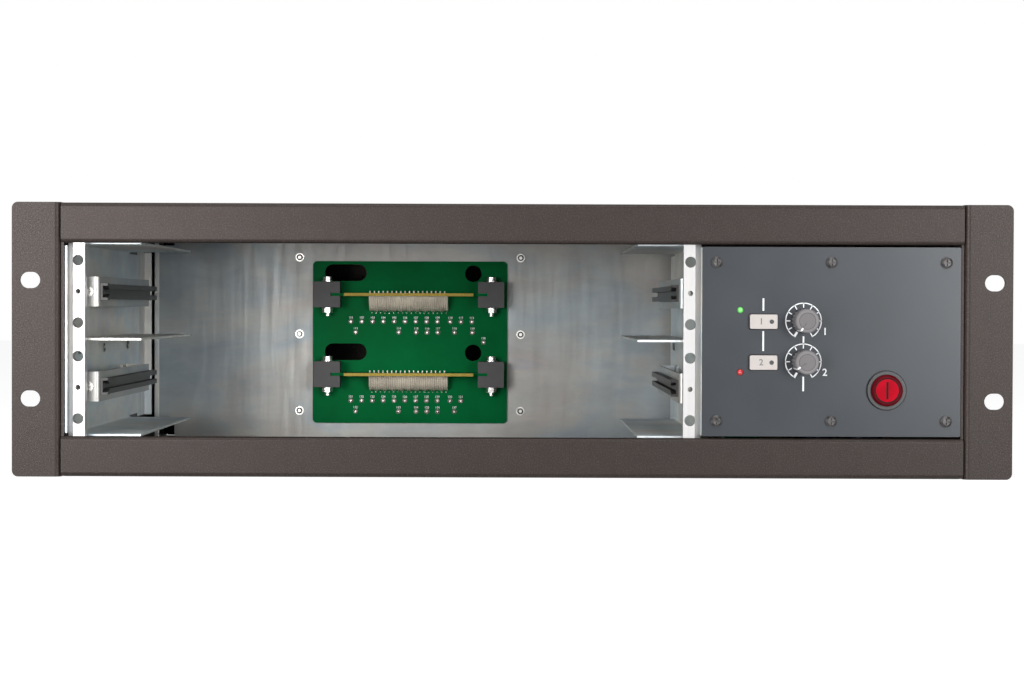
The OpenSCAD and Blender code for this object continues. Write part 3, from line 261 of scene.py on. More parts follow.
def shades(finish, factor, *stops):
    """A colour for each level of a pattern: stops are (level, (r, g, b))."""
    ramp = add_node(finish, "ShaderNodeValToRGB")
    points = ramp.color_ramp.elements
    while len(points) < len(stops):
        points.new(0.5)
    for point, (level, color) in zip(points, stops):
        point.position = level
        point.color = (*color, 1)
    feed(finish, factor, ramp.inputs["Fac"])
    return ramp.outputs["Color"]


def levels(finish, value, low, high, to_low, to_high):
    span = add_node(finish, "ShaderNodeMapRange")
    names = ("From Min", "From Max", "To Min", "To Max")
    for key, number in zip(names, (low, high, to_low, to_high)):
        span.inputs[key].default_value = number
    feed(finish, value, span.inputs["Value"])
    return span.outputs["Result"]


def calc(finish, operation, first, second=0.0):
    node = add_node(finish, "ShaderNodeMath", operation=operation)
    feed(finish, first, node.inputs[0])
    feed(finish, second, node.inputs[1])
    return node.outputs[0]


def blend_colors(finish, factor, first, second):
    mix = add_node(finish, "ShaderNodeMix", data_type="RGBA")
    feed(finish, factor, mix.inputs["Factor"])
    for value, socket in ((first, mix.inputs[6]), (second, mix.inputs[7])):
        feed(finish, (*value, 1) if isinstance(value, tuple) else value, socket)
    return mix.outputs[2]


def relief(finish, *layers):
    """Bumps laid over each other: each layer is (height pattern, distance in metres, strength)."""
    normal = None
    for height, distance, strength in layers:
        bump = add_node(finish, "ShaderNodeBump")
        feed(finish, height, bump.inputs["Height"])
        bump.inputs["Distance"].default_value = distance
        bump.inputs["Strength"].default_value = strength
        if normal is not None:
            feed(finish, normal, bump.inputs["Normal"])
        normal = bump.outputs["Normal"]
    put(finish, "Normal", normal)


def put(finish, name, value):
    feed(finish, value, finish.node_tree.nodes["Principled BSDF"].inputs[name])


def facing(finish, axis):
    """How far a face looks along an axis, 0 to 1."""
    source = add_node(finish, "ShaderNodeTexCoord")
    parts = add_node(finish, "ShaderNodeSeparateXYZ")
    feed(finish, source.outputs["Normal"], parts.inputs[0])
    return calc(finish, "ABSOLUTE", parts.outputs[axis])


print("helpers ready")

# %% [markdown]
# ## Powder coat
# The case is folded steel with a fine textured powder coat, a warm dark grey. Up close it is a field
# of tiny rounded grains, a little uneven in tone, and some catch the light: those glints are painted
# into the colour as pale specks, and the gloss is broken. Two noises make it: a fine one for the
# grains and a slower one for the faint unevenness of a sprayed coat.

# %% Powder coat
coat = new_finish("body_paint", (0.022, 0.016, 0.014), 0.38, specular=0.28)
put(coat, "Specular Tint", (1.0, 0.90, 0.87, 1))
fine = grain(coat, 1500, 3.0, rough=0.6)
broad = grain(coat, 160, 3.0)
# Partly painted highlight: the palest specks stand for grains catching the light, and the darker ones
# are the coat's own uneven tone.
grain_tone_and_glints = shades(coat, fine, (0.32, (0.011, 0.008, 0.007)), (0.52, (0.021, 0.015, 0.013)),
                 (0.70, (0.062, 0.049, 0.044)))
cloud = shades(coat, broad, (0.35, (0.018, 0.013, 0.011)), (0.65, (0.025, 0.019, 0.016)))
put(coat, "Base Color", blend_colors(coat, 0.35, grain_tone_and_glints, cloud))
put(coat, "Roughness", levels(coat, fine, 0.3, 0.7, 0.44, 0.34))
relief(coat, (broad, mm(0.05), 0.10), (fine, mm(0.10), 0.55))
print("powder coat")

# %% [markdown]
# ## Passivated zinc
# The cage is zinc-plated sheet with a passivation that is only a few light waves thick, so it
# shows blue, green, straw and mauve clouds, drawn out by the rolling of the sheet. A stretched
# noise picks the hue, another the depth, and a fine streaky one breaks the gloss along the
# rolling direction.

# %% Passivated zinc


def zinc_finish(name, stretch, level=1.0, roughness=(0.30, 0.48), metallic=0.65):
    zinc = new_finish(name, (0.6, 0.6, 0.58), 0.38, metallic=metallic)
    hue = grain(zinc, 9, 4.0, stretch, distortion=0.6, rough=0.62)
    depth = grain(zinc, 22, 5.0, stretch, distortion=0.3, rough=0.6)
    streak = grain(zinc, 260, 3.0, (1, 1, 0.06), rough=0.7)

    def toned(*color):
        return tuple(level * c for c in color)

    tones = shades(zinc, hue,
                   (0.30, toned(0.50, 0.57, 0.63)), (0.42, toned(0.56, 0.61, 0.64)),
                   (0.52, toned(0.64, 0.64, 0.62)), (0.62, toned(0.67, 0.63, 0.60)),
                   (0.72, toned(0.55, 0.57, 0.67)))
    grey = shades(zinc, depth,
                  (0.30, (0.80, 0.81, 0.83)), (0.55, (1.0, 1.0, 0.99)), (0.75, (1.14, 1.14, 1.10)))
    fleck = shades(zinc, streak, (0.25, (0.92, 0.93, 0.93)), (0.75, (1.06, 1.06, 1.05)))
    tint = tones
    for pattern in (grey, fleck):
        layer = add_node(zinc, "ShaderNodeMix", data_type="RGBA", blend_type="MULTIPLY")
        layer.inputs["Factor"].default_value = 1.0
        feed(zinc, tint, layer.inputs[6])
        feed(zinc, pattern, layer.inputs[7])
        tint = layer.outputs[2]
    put(zinc, "Base Color", tint)
    put(zinc, "Roughness", levels(zinc, streak, 0.3, 0.7, *roughness))
    relief(zinc, (streak, mm(0.02), 0.05), (depth, mm(0.3), 0.05))


# These four are copies of one zinc at different levels, and the differences are painted light and
# shade: the cage's walls and the rear wall sheet are set brighter, and the brackets and the back
# panel darker, to stand in for how the light falls on each.
zinc_finish("zinc_sheet", (1.0, 1.0, 2.2), level=1.25)
zinc_finish("zinc_back", (1.0, 1.0, 2.2), level=0.50, roughness=(0.42, 0.56), metallic=0.85)
zinc_finish("zinc_bracket", (1.5, 1.0, 1.0), level=0.72, roughness=(0.30, 0.42))
zinc_finish("zinc_dull", (1.0, 3.0, 1.0), level=1.3, roughness=(0.5, 0.6), metallic=0.2)
print("zinc finishes")

# %% [markdown]
# ## Bright aluminium
# The mounting bars are drawn aluminium, almost white in soft light, with fine lines along their
# length. The rails behind the supply panel are the same metal, left duller.

# %% Aluminium


def drawn_aluminium(name, color, metallic, lines, roughness):
    metal = new_finish(name, color, roughness, metallic=metallic)
    scratch = grain(metal, 900, 3.0, lines, rough=0.7)
    soft = grain(metal, 60, 2.0, lines)
    darker = tuple(0.90 * c for c in color)
    put(metal, "Base Color", shades(metal, scratch, (0.25, darker), (0.7, color)))
    put(metal, "Roughness", levels(metal, soft, 0.3, 0.7, roughness - 0.05, roughness + 0.08))
    relief(metal, (scratch, mm(0.01), 0.12))


drawn_aluminium("bar_aluminium", (0.54, 0.53, 0.525), 0.50, (1, 1, 0.02), 0.34)
drawn_aluminium("rail_aluminium", (0.70, 0.70, 0.69), 0.9, (0.02, 1, 1), 0.36)
print("aluminium")

# %% [markdown]
# ## Fasteners and small metal
# Zinc-plated screws and rivets are bright with a slight grey bloom. Black screws have an oiled
# oxide skin that wears to grey on the rims, which a pattern of small scuffs gives.

# %% Fastener finishes


def small_metal(name, color, roughness, metallic=1.0, wear=0.15):
    metal = new_finish(name, color, roughness, metallic=metallic)
    spots = grain(metal, 420, 4.0, rough=0.65)
    worn = tuple(min(1.0, c + wear) for c in color)
    put(metal, "Base Color", shades(metal, spots, (0.35, color), (0.72, worn)))
    put(metal, "Roughness", levels(metal, spots, 0.3, 0.7, roughness - 0.07, roughness + 0.1))
    relief(metal, (spots, mm(0.02), 0.15))


small_metal("zinc_fastener", (0.62, 0.61, 0.58), 0.28)
small_metal("black_fastener", (0.045, 0.041, 0.040), 0.42, metallic=0.7, wear=0.10)
small_metal("solder", (0.62, 0.57, 0.55), 0.26, wear=0.2)
small_metal("tinned_wire", (0.66, 0.62, 0.56), 0.34, metallic=0.5, wear=0.16)
small_metal("shaft_brass", (0.60, 0.50, 0.30), 0.30)
small_metal("pot_case", (0.42, 0.41, 0.38), 0.35)
print("fastener finishes")

# %% [markdown]
# ## Moulded plastics
# Moulded parts are never one flat tone. Each has a faint mottling, a fine matt grain from the
# mould and a gloss that wanders a little, and the differences lie in how strong these are.

# %% Plastic finishes


def moulded(name, color, roughness, mottle=0.08, bite=0.12, coat=0.0, specular=0.5):
    plastic = new_finish(name, color, roughness, coat=coat, specular=specular)
    mould = grain(plastic, 2200, 2.0)
    drift = grain(plastic, 130, 3.0)
    dark, light = (tuple(c * (1 + s * mottle) for c in color) for s in (-1, 1))
    put(plastic, "Base Color", shades(plastic, drift, (0.35, dark), (0.65, light)))
    put(plastic, "Roughness", levels(plastic, mould, 0.3, 0.7, roughness - 0.05, roughness + 0.06))
    relief(plastic, (mould, mm(0.02), bite))


moulded("guide_plastic", (0.022, 0.021, 0.021), 0.42)
moulded("block_plastic", (0.045, 0.042, 0.045), 0.50)
moulded("button_ivory", (0.50, 0.455, 0.43), 0.36, mottle=0.03, bite=0.05)
moulded("switch_plastic", (0.020, 0.020, 0.022), 0.45)
moulded("knob_grey", (0.165, 0.155, 0.160), 0.50, mottle=0.06)
moulded("cap_grey", (0.125, 0.115, 0.120), 0.42, mottle=0.04)
moulded("mains_black", (0.020, 0.020, 0.021), 0.30, coat=0.3)
moulded("capacitor_sleeve", (0.015, 0.025, 0.09), 0.30)
moulded("white_ink", (0.86, 0.87, 0.88), 0.50, mottle=0.02, bite=0.04)
moulded("grey_ink", (0.16, 0.155, 0.15), 0.55, mottle=0.05, bite=0.04)
moulded("window_smoke", (0.050, 0.052, 0.056), 0.18, coat=0.6)
moulded("wire_sleeve", (0.70, 0.63, 0.52), 0.42, mottle=0.12)
moulded("pad_pink", (0.33, 0.22, 0.21), 0.40, mottle=0.20)
# edge_black is also laid on as painted shadow: the thin rings round the studs and round the knob
# caps.
moulded("edge_black", (0.020, 0.019, 0.018), 0.50)
print("plastic finishes")

# %% [markdown]
# ## Satin panel paint
# The supply panel is a smooth blue-grey satin, glossier than the case. Its sheen comes from the
# right soft box, and a very fine orange peel keeps that sheen from looking like glass.

# %% Panel paint
satin = new_finish("panel_paint", (0.020, 0.025, 0.031), 0.30, specular=0.46)
peel = grain(satin, 900, 2.0)
drift = grain(satin, 30, 3.0)
put(satin, "Base Color", shades(satin, drift,
                                (0.35, (0.019, 0.024, 0.030)), (0.65, (0.022, 0.027, 0.034))))
put(satin, "Roughness", levels(satin, drift, 0.3, 0.7, 0.28, 0.33))
relief(satin, (peel, mm(0.02), 0.10))
print("panel paint")

# %% [markdown]
# ## Circuit boards
# A board is glass laminate under a green mask. On its faces the mask is glossy and slightly uneven.
# On its edges the bare yellow-brown laminate shows. The direction that a face looks in tells the two
# apart.

# %% Board finishes
board_low, board_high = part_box("backplane_board")
board_middle = (board_low + board_high) / 2


def masked_board(name, thin_axis, edge_color, masked_beyond=None):
    board = new_finish(name, (0.001, 0.17, 0.050), 0.45, specular=0.02)
    uneven = grain(board, 45, 4.0)
    weave = grain(board, 1400, 1.0)
    mask = shades(board, uneven, (0.35, (0.0004, 0.120, 0.031)), (0.68, (0.0006, 0.150, 0.041)))
    edge = shades(board, weave, (0.35, tuple(0.8 * c for c in edge_color)), (0.65, edge_color))
    on_face = calc(board, "GREATER_THAN", facing(board, thin_axis), 0.5)
    if masked_beyond:
        sides = add_node(board, "ShaderNodeSeparateXYZ")
        feed(board, coordinates(board, centre=(board_middle.x, 0, 0)), sides.inputs[0])
        from_middle = calc(board, "ABSOLUTE", sides.outputs["X"])
        past = calc(board, "GREATER_THAN", from_middle, masked_beyond)
        on_face = calc(board, "MAXIMUM", on_face, past)
    put(board, "Base Color", blend_colors(board, on_face, edge, mask))
    put(board, "Roughness", levels(board, uneven, 0.3, 0.7, 0.30, 0.42))
    relief(board, (weave, mm(0.01), 0.08))


masked_board("board_green", "Y", (0.20, 0.20, 0.08))
masked_board("strip_laminate", "Z", (0.55, 0.40, 0.09), masked_beyond=mm(37.5))
print("board finishes")

# %% [markdown]
# ## The mains button
# The button is one red moulding: a dark red lens ring, a black groove, a bright lit-looking disc
# and a black upright mark. The groove and mark are real recesses in the CAD part, so the colours
# only have to follow them, by distance from the button's middle.

# %% Mains button finish
button_low, button_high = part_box("mains_button")
button_middle = (button_low + button_high) / 2
disc_r, ring_w, mark_w, mark_h = mm(5.5, 0.6, 1.0, 8.4)
red = new_finish("mains_red", (0.45, 0.001, 0.012), 0.34, specular=0.05)
parts = add_node(red, "ShaderNodeSeparateXYZ")
feed(red, coordinates(red, centre=(button_middle.x, 0, button_middle.z)), parts.inputs[0])
distance = calc(red, "SQRT", calc(red, "ADD", calc(red, "POWER", parts.outputs["X"], 2.0),
                                  calc(red, "POWER", calc(red, "ABSOLUTE", parts.outputs["Z"]), 2.0)))
in_disc = calc(red, "LESS_THAN", distance, disc_r)
in_groove = calc(red, "LESS_THAN", distance, disc_r + ring_w)
in_mark = calc(red, "MULTIPLY",
               calc(red, "LESS_THAN", calc(red, "ABSOLUTE", parts.outputs["X"]), mark_w / 2),
               calc(red, "LESS_THAN", calc(red, "ABSOLUTE", parts.outputs["Z"]), mark_h / 2))
lens = shades(red, grain(red, 260, 3.0),
              (0.35, (0.075, 0.001, 0.004)), (0.65, (0.110, 0.002, 0.006)))
disc = shades(red, grain(red, 320, 3.0),
              (0.35, (0.36, 0.0003, 0.010)), (0.65, (0.44, 0.0006, 0.013)))
mark_black = (0.012, 0.010, 0.010)
groove = blend_colors(red, in_groove, lens, mark_black)
unmarked = blend_colors(red, in_disc, groove, disc)
put(red, "Base Color", blend_colors(red, in_mark, unmarked, mark_black))
print("mains button about", [round(c, 4) for c in button_middle])

# %% [markdown]
# ## Lamp lenses
# The two indicator lamps are diffused plastic: coloured all through and smooth outside. A faint glow
# painted on as emission stands in for the light that scatters in them.

# %% Lens finishes


def lens_finish(name, color, dark):
    lens = new_finish(name, color, 0.16, coat=0.7)
    cloudy = grain(lens, 700, 2.0)
    put(lens, "Base Color", shades(lens, cloudy, (0.3, dark), (0.7, color)))
    shader = lens.node_tree.nodes["Principled BSDF"]
    # Painted glow: this emission stands in for the light that scatters in the lens.
    shader.inputs["Emission Color"].default_value = (*color, 1)
    shader.inputs["Emission Strength"].default_value = 0.12


lens_finish("green_lens", (0.17, 0.70, 0.15), (0.12, 0.52, 0.10))
lens_finish("red_lens", (0.60, 0.015, 0.020), (0.40, 0.008, 0.012))
print("lenses")

# %% [markdown]
# ## Parts that stay inside and at the back
# The transformer is wound with yellow tape, laid in overlapping turns round the ring, so its
# bands follow the angle about its axis. Sockets and inlet are black, with bright pins told from
# the shell by where they are.

# %% Transformer tape
ring_low, ring_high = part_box("transformer")
ring_middle = (ring_low + ring_high) / 2
tape = new_finish("winding_tape", (0.60, 0.42, 0.06), 0.32, coat=0.3)
parts = add_node(tape, "ShaderNodeSeparateXYZ")
feed(tape, coordinates(tape, centre=tuple(ring_middle)), parts.inputs[0])
angle = calc(tape, "ARCTAN2", parts.outputs["Y"], parts.outputs["X"])
tape_turns = 36
band = calc(tape, "FRACT", calc(tape, "MULTIPLY", angle, tape_turns / math.tau))
put(tape, "Base Color", shades(tape, band, (0.0, (0.30, 0.19, 0.02)), (0.12, (0.55, 0.37, 0.05)),
                               (0.9, (0.66, 0.47, 0.08))))
relief(tape, (band, mm(0.15), 0.4))
print("transformer tape, turns", tape_turns)

# %% Sockets and inlet


def black_with_pins(name, color, roughness, pins, half):
    """A black shell whose pins, boxes about the given centres, are bright metal."""
    shell = new_finish(name, color, roughness)
    parts = add_node(shell, "ShaderNodeSeparateXYZ")
    feed(shell, coordinates(shell), parts.inputs[0])
    is_pin = 0.0
    for x, z in pins:
        along_x = calc(shell, "ABSOLUTE", calc(shell, "SUBTRACT", parts.outputs["X"], x))
        along_z = calc(shell, "ABSOLUTE", calc(shell, "SUBTRACT", parts.outputs["Z"], z))
        inside = calc(shell, "MULTIPLY", calc(shell, "LESS_THAN", along_x, half[0]),
                      calc(shell, "LESS_THAN", along_z, half[1]))
        is_pin = calc(shell, "MAXIMUM", inside, is_pin)
    mould = grain(shell, 1500, 2.0)
    dark = shades(shell, mould, (0.3, color), (0.7, tuple(1.5 * c for c in color)))
    put(shell, "Base Color", blend_colors(shell, is_pin, dark, (0.70, 0.66, 0.56)))
    put(shell, "Metallic", is_pin)
    relief(shell, (mould, mm(0.02), 0.15))


inlet_low, inlet_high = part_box("mains_inlet")
inlet_middle = (inlet_low + inlet_high) / 2
pin_places = ((-7, -3), (0, 1), (7, -3))
inlet_pins = [(inlet_middle.x + mm(x), inlet_middle.z + mm(z)) for x, z in pin_places]
black_with_pins("connector_black", (0.015, 0.015, 0.015), 0.40, inlet_pins, mm(1.05, 2.05))

# These are in millimetres and degrees, because mm() is applied to each finished place.
socket_xs, socket_z = (-100, -60), 10
contact_circle, contact_turns = 4.3, (-52, 52, 180)
contact_half = mm(1.25, 1.25)
socket_pins = []
for socket_x in socket_xs:
    for turn in contact_turns:
        across = contact_circle * math.sin(math.radians(turn))
        up = contact_circle * math.cos(math.radians(turn))
        socket_pins.append((mm(socket_x + across), mm(socket_z + up)))
black_with_pins("socket_metal", (0.028, 0.028, 0.030), 0.36, socket_pins, contact_half)
print("pins", len(inlet_pins) + len(socket_pins))

# %% [markdown]
# ## Give every CAD node its finish
# The record names a material slot for each node, and most finishes above carry a slot's name. Two
# kinds of piece differ, though both are the cage's zinc: the guide brackets and the back panel take
# darker copies of it, which are painted shade for how the light falls on them, and the back panel's
# copy is also rougher.

# %% Finishes onto nodes
special_finishes = {"cage_back_panel": "zinc_back"}
for row in ("upper", "lower"):
    for side in ("left", "right"):
        special_finishes["%s_%s_guide_bracket" % (row, side)] = "zinc_bracket"
node_slots = {row["node"]: row["material_slot"] for row in frame["record"]["subparts"]}
for name, part in frame["nodes"].items():
    finish_name = special_finishes.get(name, node_slots[name])
    part.data.materials.clear()
    part.data.materials.append(finishes[finish_name])
print("finished nodes", len(node_slots))

# %% [markdown]
# ## Helpers for pieces
# Each new piece starts as a bmesh, gets its place in its mesh and rides on the body that carries
# it.

# %% Piece helpers


def make_piece(name, shape, finish, body):
    bmesh.ops.recalc_face_normals(shape, faces=shape.faces)
    mesh = bpy.data.meshes.new(name)
    shape.to_mesh(mesh)
    shape.free()
    mesh.materials.append(finishes[finish])
    piece = bpy.data.objects.new(name, mesh)
    scene.collection.objects.link(piece)
    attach(piece, body)
    print(name, "faces", len(mesh.polygons))


def add_block(shape, low, high):
    """A block between two corners. Returns its vertices."""
    made = bmesh.ops.create_cube(shape, size=1)["verts"]
    low, high = Vector(low), Vector(high)
    bmesh.ops.scale(shape, vec=high - low, verts=made)
    bmesh.ops.translate(shape, vec=(low + high) / 2, verts=made)
    return made


def turn_about_y(shape, verts, centre, degrees):
    """Turns vertices clockwise, as seen from the front, about an axis along Y."""
    bmesh.ops.rotate(shape, verts=verts, cent=centre,
                     matrix=Matrix.Rotation(math.radians(degrees), 3, "Y"))


def lay_along_y(shape, verts):
    """Turns vertices that were made along Z, about the origin, so that they lie along Y."""
    bmesh.ops.rotate(shape, verts=verts, cent=(0, 0, 0),
                     matrix=Matrix.Rotation(math.radians(90), 3, "X"))


def round_edges(shape, edges, width, segments):
    bmesh.ops.bevel(shape, geom=edges, offset=width, offset_type="OFFSET", segments=segments,
                    profile=0.5, affect="EDGES", material=-1)


# The height of a figure, as a share of its font size.
figure_share = 0.7


def add_words(shape, words, centre, height, front, thick, weight=0.02):
    """Plain figures that stand on a face looking to the front."""
    curve = bpy.data.curves.new("figures", "FONT")
    curve.body = words
    curve.size = height / figure_share
    curve.align_x = "CENTER"
    curve.align_y = "CENTER"
    curve.resolution_u = 3
    curve.extrude = thick / 2
    curve.offset = height * weight
    holder = bpy.data.objects.new("figures", curve)
    scene.collection.objects.link(holder)
    bpy.context.view_layer.update()
    depsgraph = bpy.context.evaluated_depsgraph_get()
    mesh = bpy.data.meshes.new_from_object(holder.evaluated_get(depsgraph))
    bpy.data.objects.remove(holder)
    mesh.transform(Matrix.Rotation(math.radians(90), 4, "X"))
    mesh.transform(Matrix.Translation((centre[0], front - thick / 2, centre[1])))
    shape.from_mesh(mesh)
    bpy.data.meshes.remove(mesh)


print("piece helpers ready")

# %% [markdown]
# ## Printing on the supply panel
# Screen printing lies a few hundredths of a millimetre proud of the paint. Each dial has a ring
# open at the bottom, short ticks inside it and a heavier stroke at the low end. Plain lines tie
# the buttons and the dials together, and the dials carry only their numbers, 1 and 2.

# %% Panel printing
panel_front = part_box("supply_front_panel")[0].y
ink = mm(0.05)
knobs = [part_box("output_knob_1"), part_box("output_knob_2")]
dials = [((low + high) / 2) for low, high in knobs]
ring_r, line_w, tick_in = mm(8.6, 0.5, 6.4)
dial_reach = 150
tick_turns = range(-dial_reach, dial_reach + 1, 30)
low_tick_in, low_tick_w = mm(6.1, 1.1)
number_right, number_down, number_h = mm(10.4, 5.2, 3.4)
# A ring that looks whole: it stops a tenth of a degree short of a full turn.
ring_sweep, ring_steps = 359.9, 60


def add_ring(shape, centre, radius, width, from_turn, to_turn, front, thick):
    """A flat printed ring: one edge, spun about the dial, then given its thickness."""
    inner, outer = radius - width / 2, radius + width / 2
    ends = [shape.verts.new((centre[0], front, centre[1] + r)) for r in (inner, outer)]
    edge = shape.edges.new(ends)
    turn_about_y(shape, ends, (centre[0], 0, centre[1]), from_turn)
    before = set(shape.faces)
    bmesh.ops.spin(shape, geom=ends + [edge], cent=(centre[0], front, centre[1]),
                   axis=(0, 1, 0), dvec=(0, 0, 0), angle=math.radians(to_turn - from_turn),
                   steps=ring_steps, use_merge=False)
    faces = [face for face in shape.faces if face not in before]
    made = bmesh.ops.extrude_face_region(shape, geom=faces)["geom"]
    raised = [v for v in made if isinstance(v, bmesh.types.BMVert)]
    bmesh.ops.translate(shape, vec=(0, -thick, 0), verts=raised)


def add_tick(shape, centre, r_in, r_out, width, turn, front, thick):
    low = (centre[0] - width / 2, front - thick, centre[1] + r_in)
    high = (centre[0] + width / 2, front, centre[1] + r_out)
    turn_about_y(shape, add_block(shape, low, high), (centre[0], 0, centre[1]), turn)


printing = bmesh.new()
for number, dial in enumerate(dials, 1):
    centre = (dial.x, dial.z)
    add_ring(printing, centre, ring_r, line_w, -dial_reach, dial_reach, panel_front, ink)
    for turn in tick_turns:
        heavy = turn == -dial_reach
        add_tick(printing, centre, low_tick_in if heavy else tick_in, ring_r + line_w / 2,
                 low_tick_w if heavy else line_w, turn, panel_front, ink)
    add_words(printing, str(number), (dial.x + number_right, dial.z - number_down), number_h,
              panel_front, ink)

button_x = sum(corner.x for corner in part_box("phantom_button_1")) / 2
upper_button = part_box("phantom_button_1")
lower_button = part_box("phantom_button_2")
stroke = mm(0.8)
over_button, line_top = mm(1.8, 7.8)
over_lower, under_upper = mm(2.1, 1.1)
over_ring, into_ring = mm(0.5, 1.2)
tail_low, tail_high = mm(5.6, 1.4)
strokes = [
    (button_x, upper_button[1].z + over_button, upper_button[1].z + line_top),
    (button_x, lower_button[1].z + over_lower, upper_button[0].z - under_upper),
    (dials[0].x, dials[1].z + ring_r + over_ring, dials[0].z - ring_r + into_ring),
    (dials[1].x, dials[1].z - ring_r - tail_low, dials[1].z - ring_r + tail_high),
]
for x, low_z, high_z in strokes:
    add_block(printing, (x - stroke / 2, panel_front - ink, low_z),
              (x + stroke / 2, panel_front, high_z))
make_piece("panel_printing", printing, "white_ink", "case")

# %% [markdown]
# ## Pointers in the knobs
# Each knob has a white line moulded into it, across its front rim and down its side. One thin
# block makes it: its outer front edge takes the same chamfer as the knob's rim, and it is turned
# to the angle where the knob rests.

# %% Knob pointers
knob_turns = (-147, -125)
cap_r, knob_r, inlay_w, chamfer, proud = mm(3.95, 5.7, 0.8, 0.5, 0.03)
groove_shadow_r, groove_shadow_w, groove_shadow_t = mm(3.9, 0.22, 0.02)
for number, (dial, turn) in enumerate(zip(dials, knob_turns), 1):
    front, back = knobs[number - 1][0].y, knobs[number - 1][1].y
    rim_z = dial.z + knob_r
    inlay = bmesh.new()
    add_block(inlay, (dial.x - inlay_w / 2, front - proud, dial.z + cap_r),
              (dial.x + inlay_w / 2, back - chamfer, rim_z + proud))
    nose = [e for e in inlay.edges if all(v.co.y < front and v.co.z > rim_z for v in e.verts)]
    round_edges(inlay, nose, chamfer, 1)
    turn_about_y(inlay, inlay.verts, dial, turn)
    knob = "output_knob_%d" % number
    make_piece("knob_pointer_%d" % number, inlay, "white_ink", knob)
    # Painted shade: a thin dark ring at the edge of the cap stands for the shadow in the groove
    # between the cap and the knob.
    groove_shadow = bmesh.new()
    add_ring(groove_shadow, (dial.x, dial.z), groove_shadow_r, groove_shadow_w, 0, ring_sweep, front, groove_shadow_t)
    make_piece("cap_seam_%d" % number, groove_shadow, "edge_black", knob)

# %% [markdown]
# ## Windows and numbers on the push buttons
# Each ivory button has a small smoked window near its right end and a printed number. The window
# is a disc with a rounded edge that stands a hair proud of the button.

# %% Button details
window_r, window_x, window_proud, window_t, window_round = mm(1.1, 3.85, 0.06, 0.3, 0.05)
figure_left, figure_h, figure_t = mm(1.2, 3.0, 0.04)
for number, (low, high) in enumerate((upper_button, lower_button), 1):
    button = "phantom_button_%d" % number
    middle = (low + high) / 2
    window = bmesh.new()
    bmesh.ops.create_cone(window, cap_ends=True, segments=32, radius1=window_r, radius2=window_r,
                          depth=window_t)
    lay_along_y(window, window.verts)
    place = (middle.x + window_x, low.y - window_proud + window_t / 2, middle.z)
    bmesh.ops.translate(window, verts=window.verts, vec=place)
    front_edges = [e for e in window.edges if all(v.co.y < low.y for v in e.verts)]
    round_edges(window, front_edges, window_round, 3)
    make_piece("button_window_%d" % number, window, "window_smoke", button)
    figure = bmesh.new()
    add_words(figure, str(number), (middle.x - figure_left, middle.z), figure_h, low.y, figure_t)
    make_piece("button_number_%d" % number, figure, "grey_ink", button)

# %% [markdown]
# ## Pads and numbers on the backplane
# Every soldered joint sits on a tinned copper pad, a little wider than the solder, with a small
# pale number printed over it. The joints' places are read from the CAD node, so pads and numbers
# always lie where they do.

# %% Pads and numbers
board_front = board_low.y
pad_r, pad_t, joint_reach = mm(1.35, 0.06, 2.6)
joints = []
for vertex in frame["nodes"]["solder_joints"].data.vertices:
    spot = (vertex.co.x, vertex.co.z)
    near = next((group for group in joints if math.dist(group[0], spot) < joint_reach), None)
    if near is None:
        joints.append([spot])
    else:
        near.append(spot)
joint_places = [tuple((min(axis) + max(axis)) / 2 for axis in zip(*group)) for group in joints]
joint_places.sort(key=lambda place: (-round(place[1], 3), place[0]))


def add_disc(shape, centre, radius, front, thick, segments=20, tip=1.0):
    """A disc, or a blunt cone where tip is under 1, that stands on a face looking to the front."""
    made = bmesh.ops.create_cone(shape, cap_ends=True, segments=segments, radius1=radius,
                                 radius2=radius * tip, depth=thick)["verts"]
    lay_along_y(shape, made)
    bmesh.ops.translate(shape, verts=made, vec=(centre[0], front - thick / 2, centre[1]))


first_number = 101
label_up, label_h, label_t = mm(2.3, 1.25, 0.03)
pads, numbers = bmesh.new(), bmesh.new()
for count, place in enumerate(joint_places, first_number):
    add_disc(pads, place, pad_r, board_front, pad_t)
    add_words(numbers, str(count), (place[0], place[1] + label_up), label_h, board_front, label_t)
make_piece("solder_pads", pads, "pad_pink", "case")
make_piece("board_numbers", numbers, "white_ink", "case")
print("solder joints", len(joint_places))

# %% [markdown]
# ## Sleeved link wires
# Under each edge strip a row of link wires turns back into the board. Each has a cream sleeve,
# and the sleeves touch, so the row reads as one pale ribbed bundle. A circle spun nearly a
# quarter turn about the bend's axis makes one sleeve, a tube left open at both ends. The wires'
# ends stand in small cones of solder.

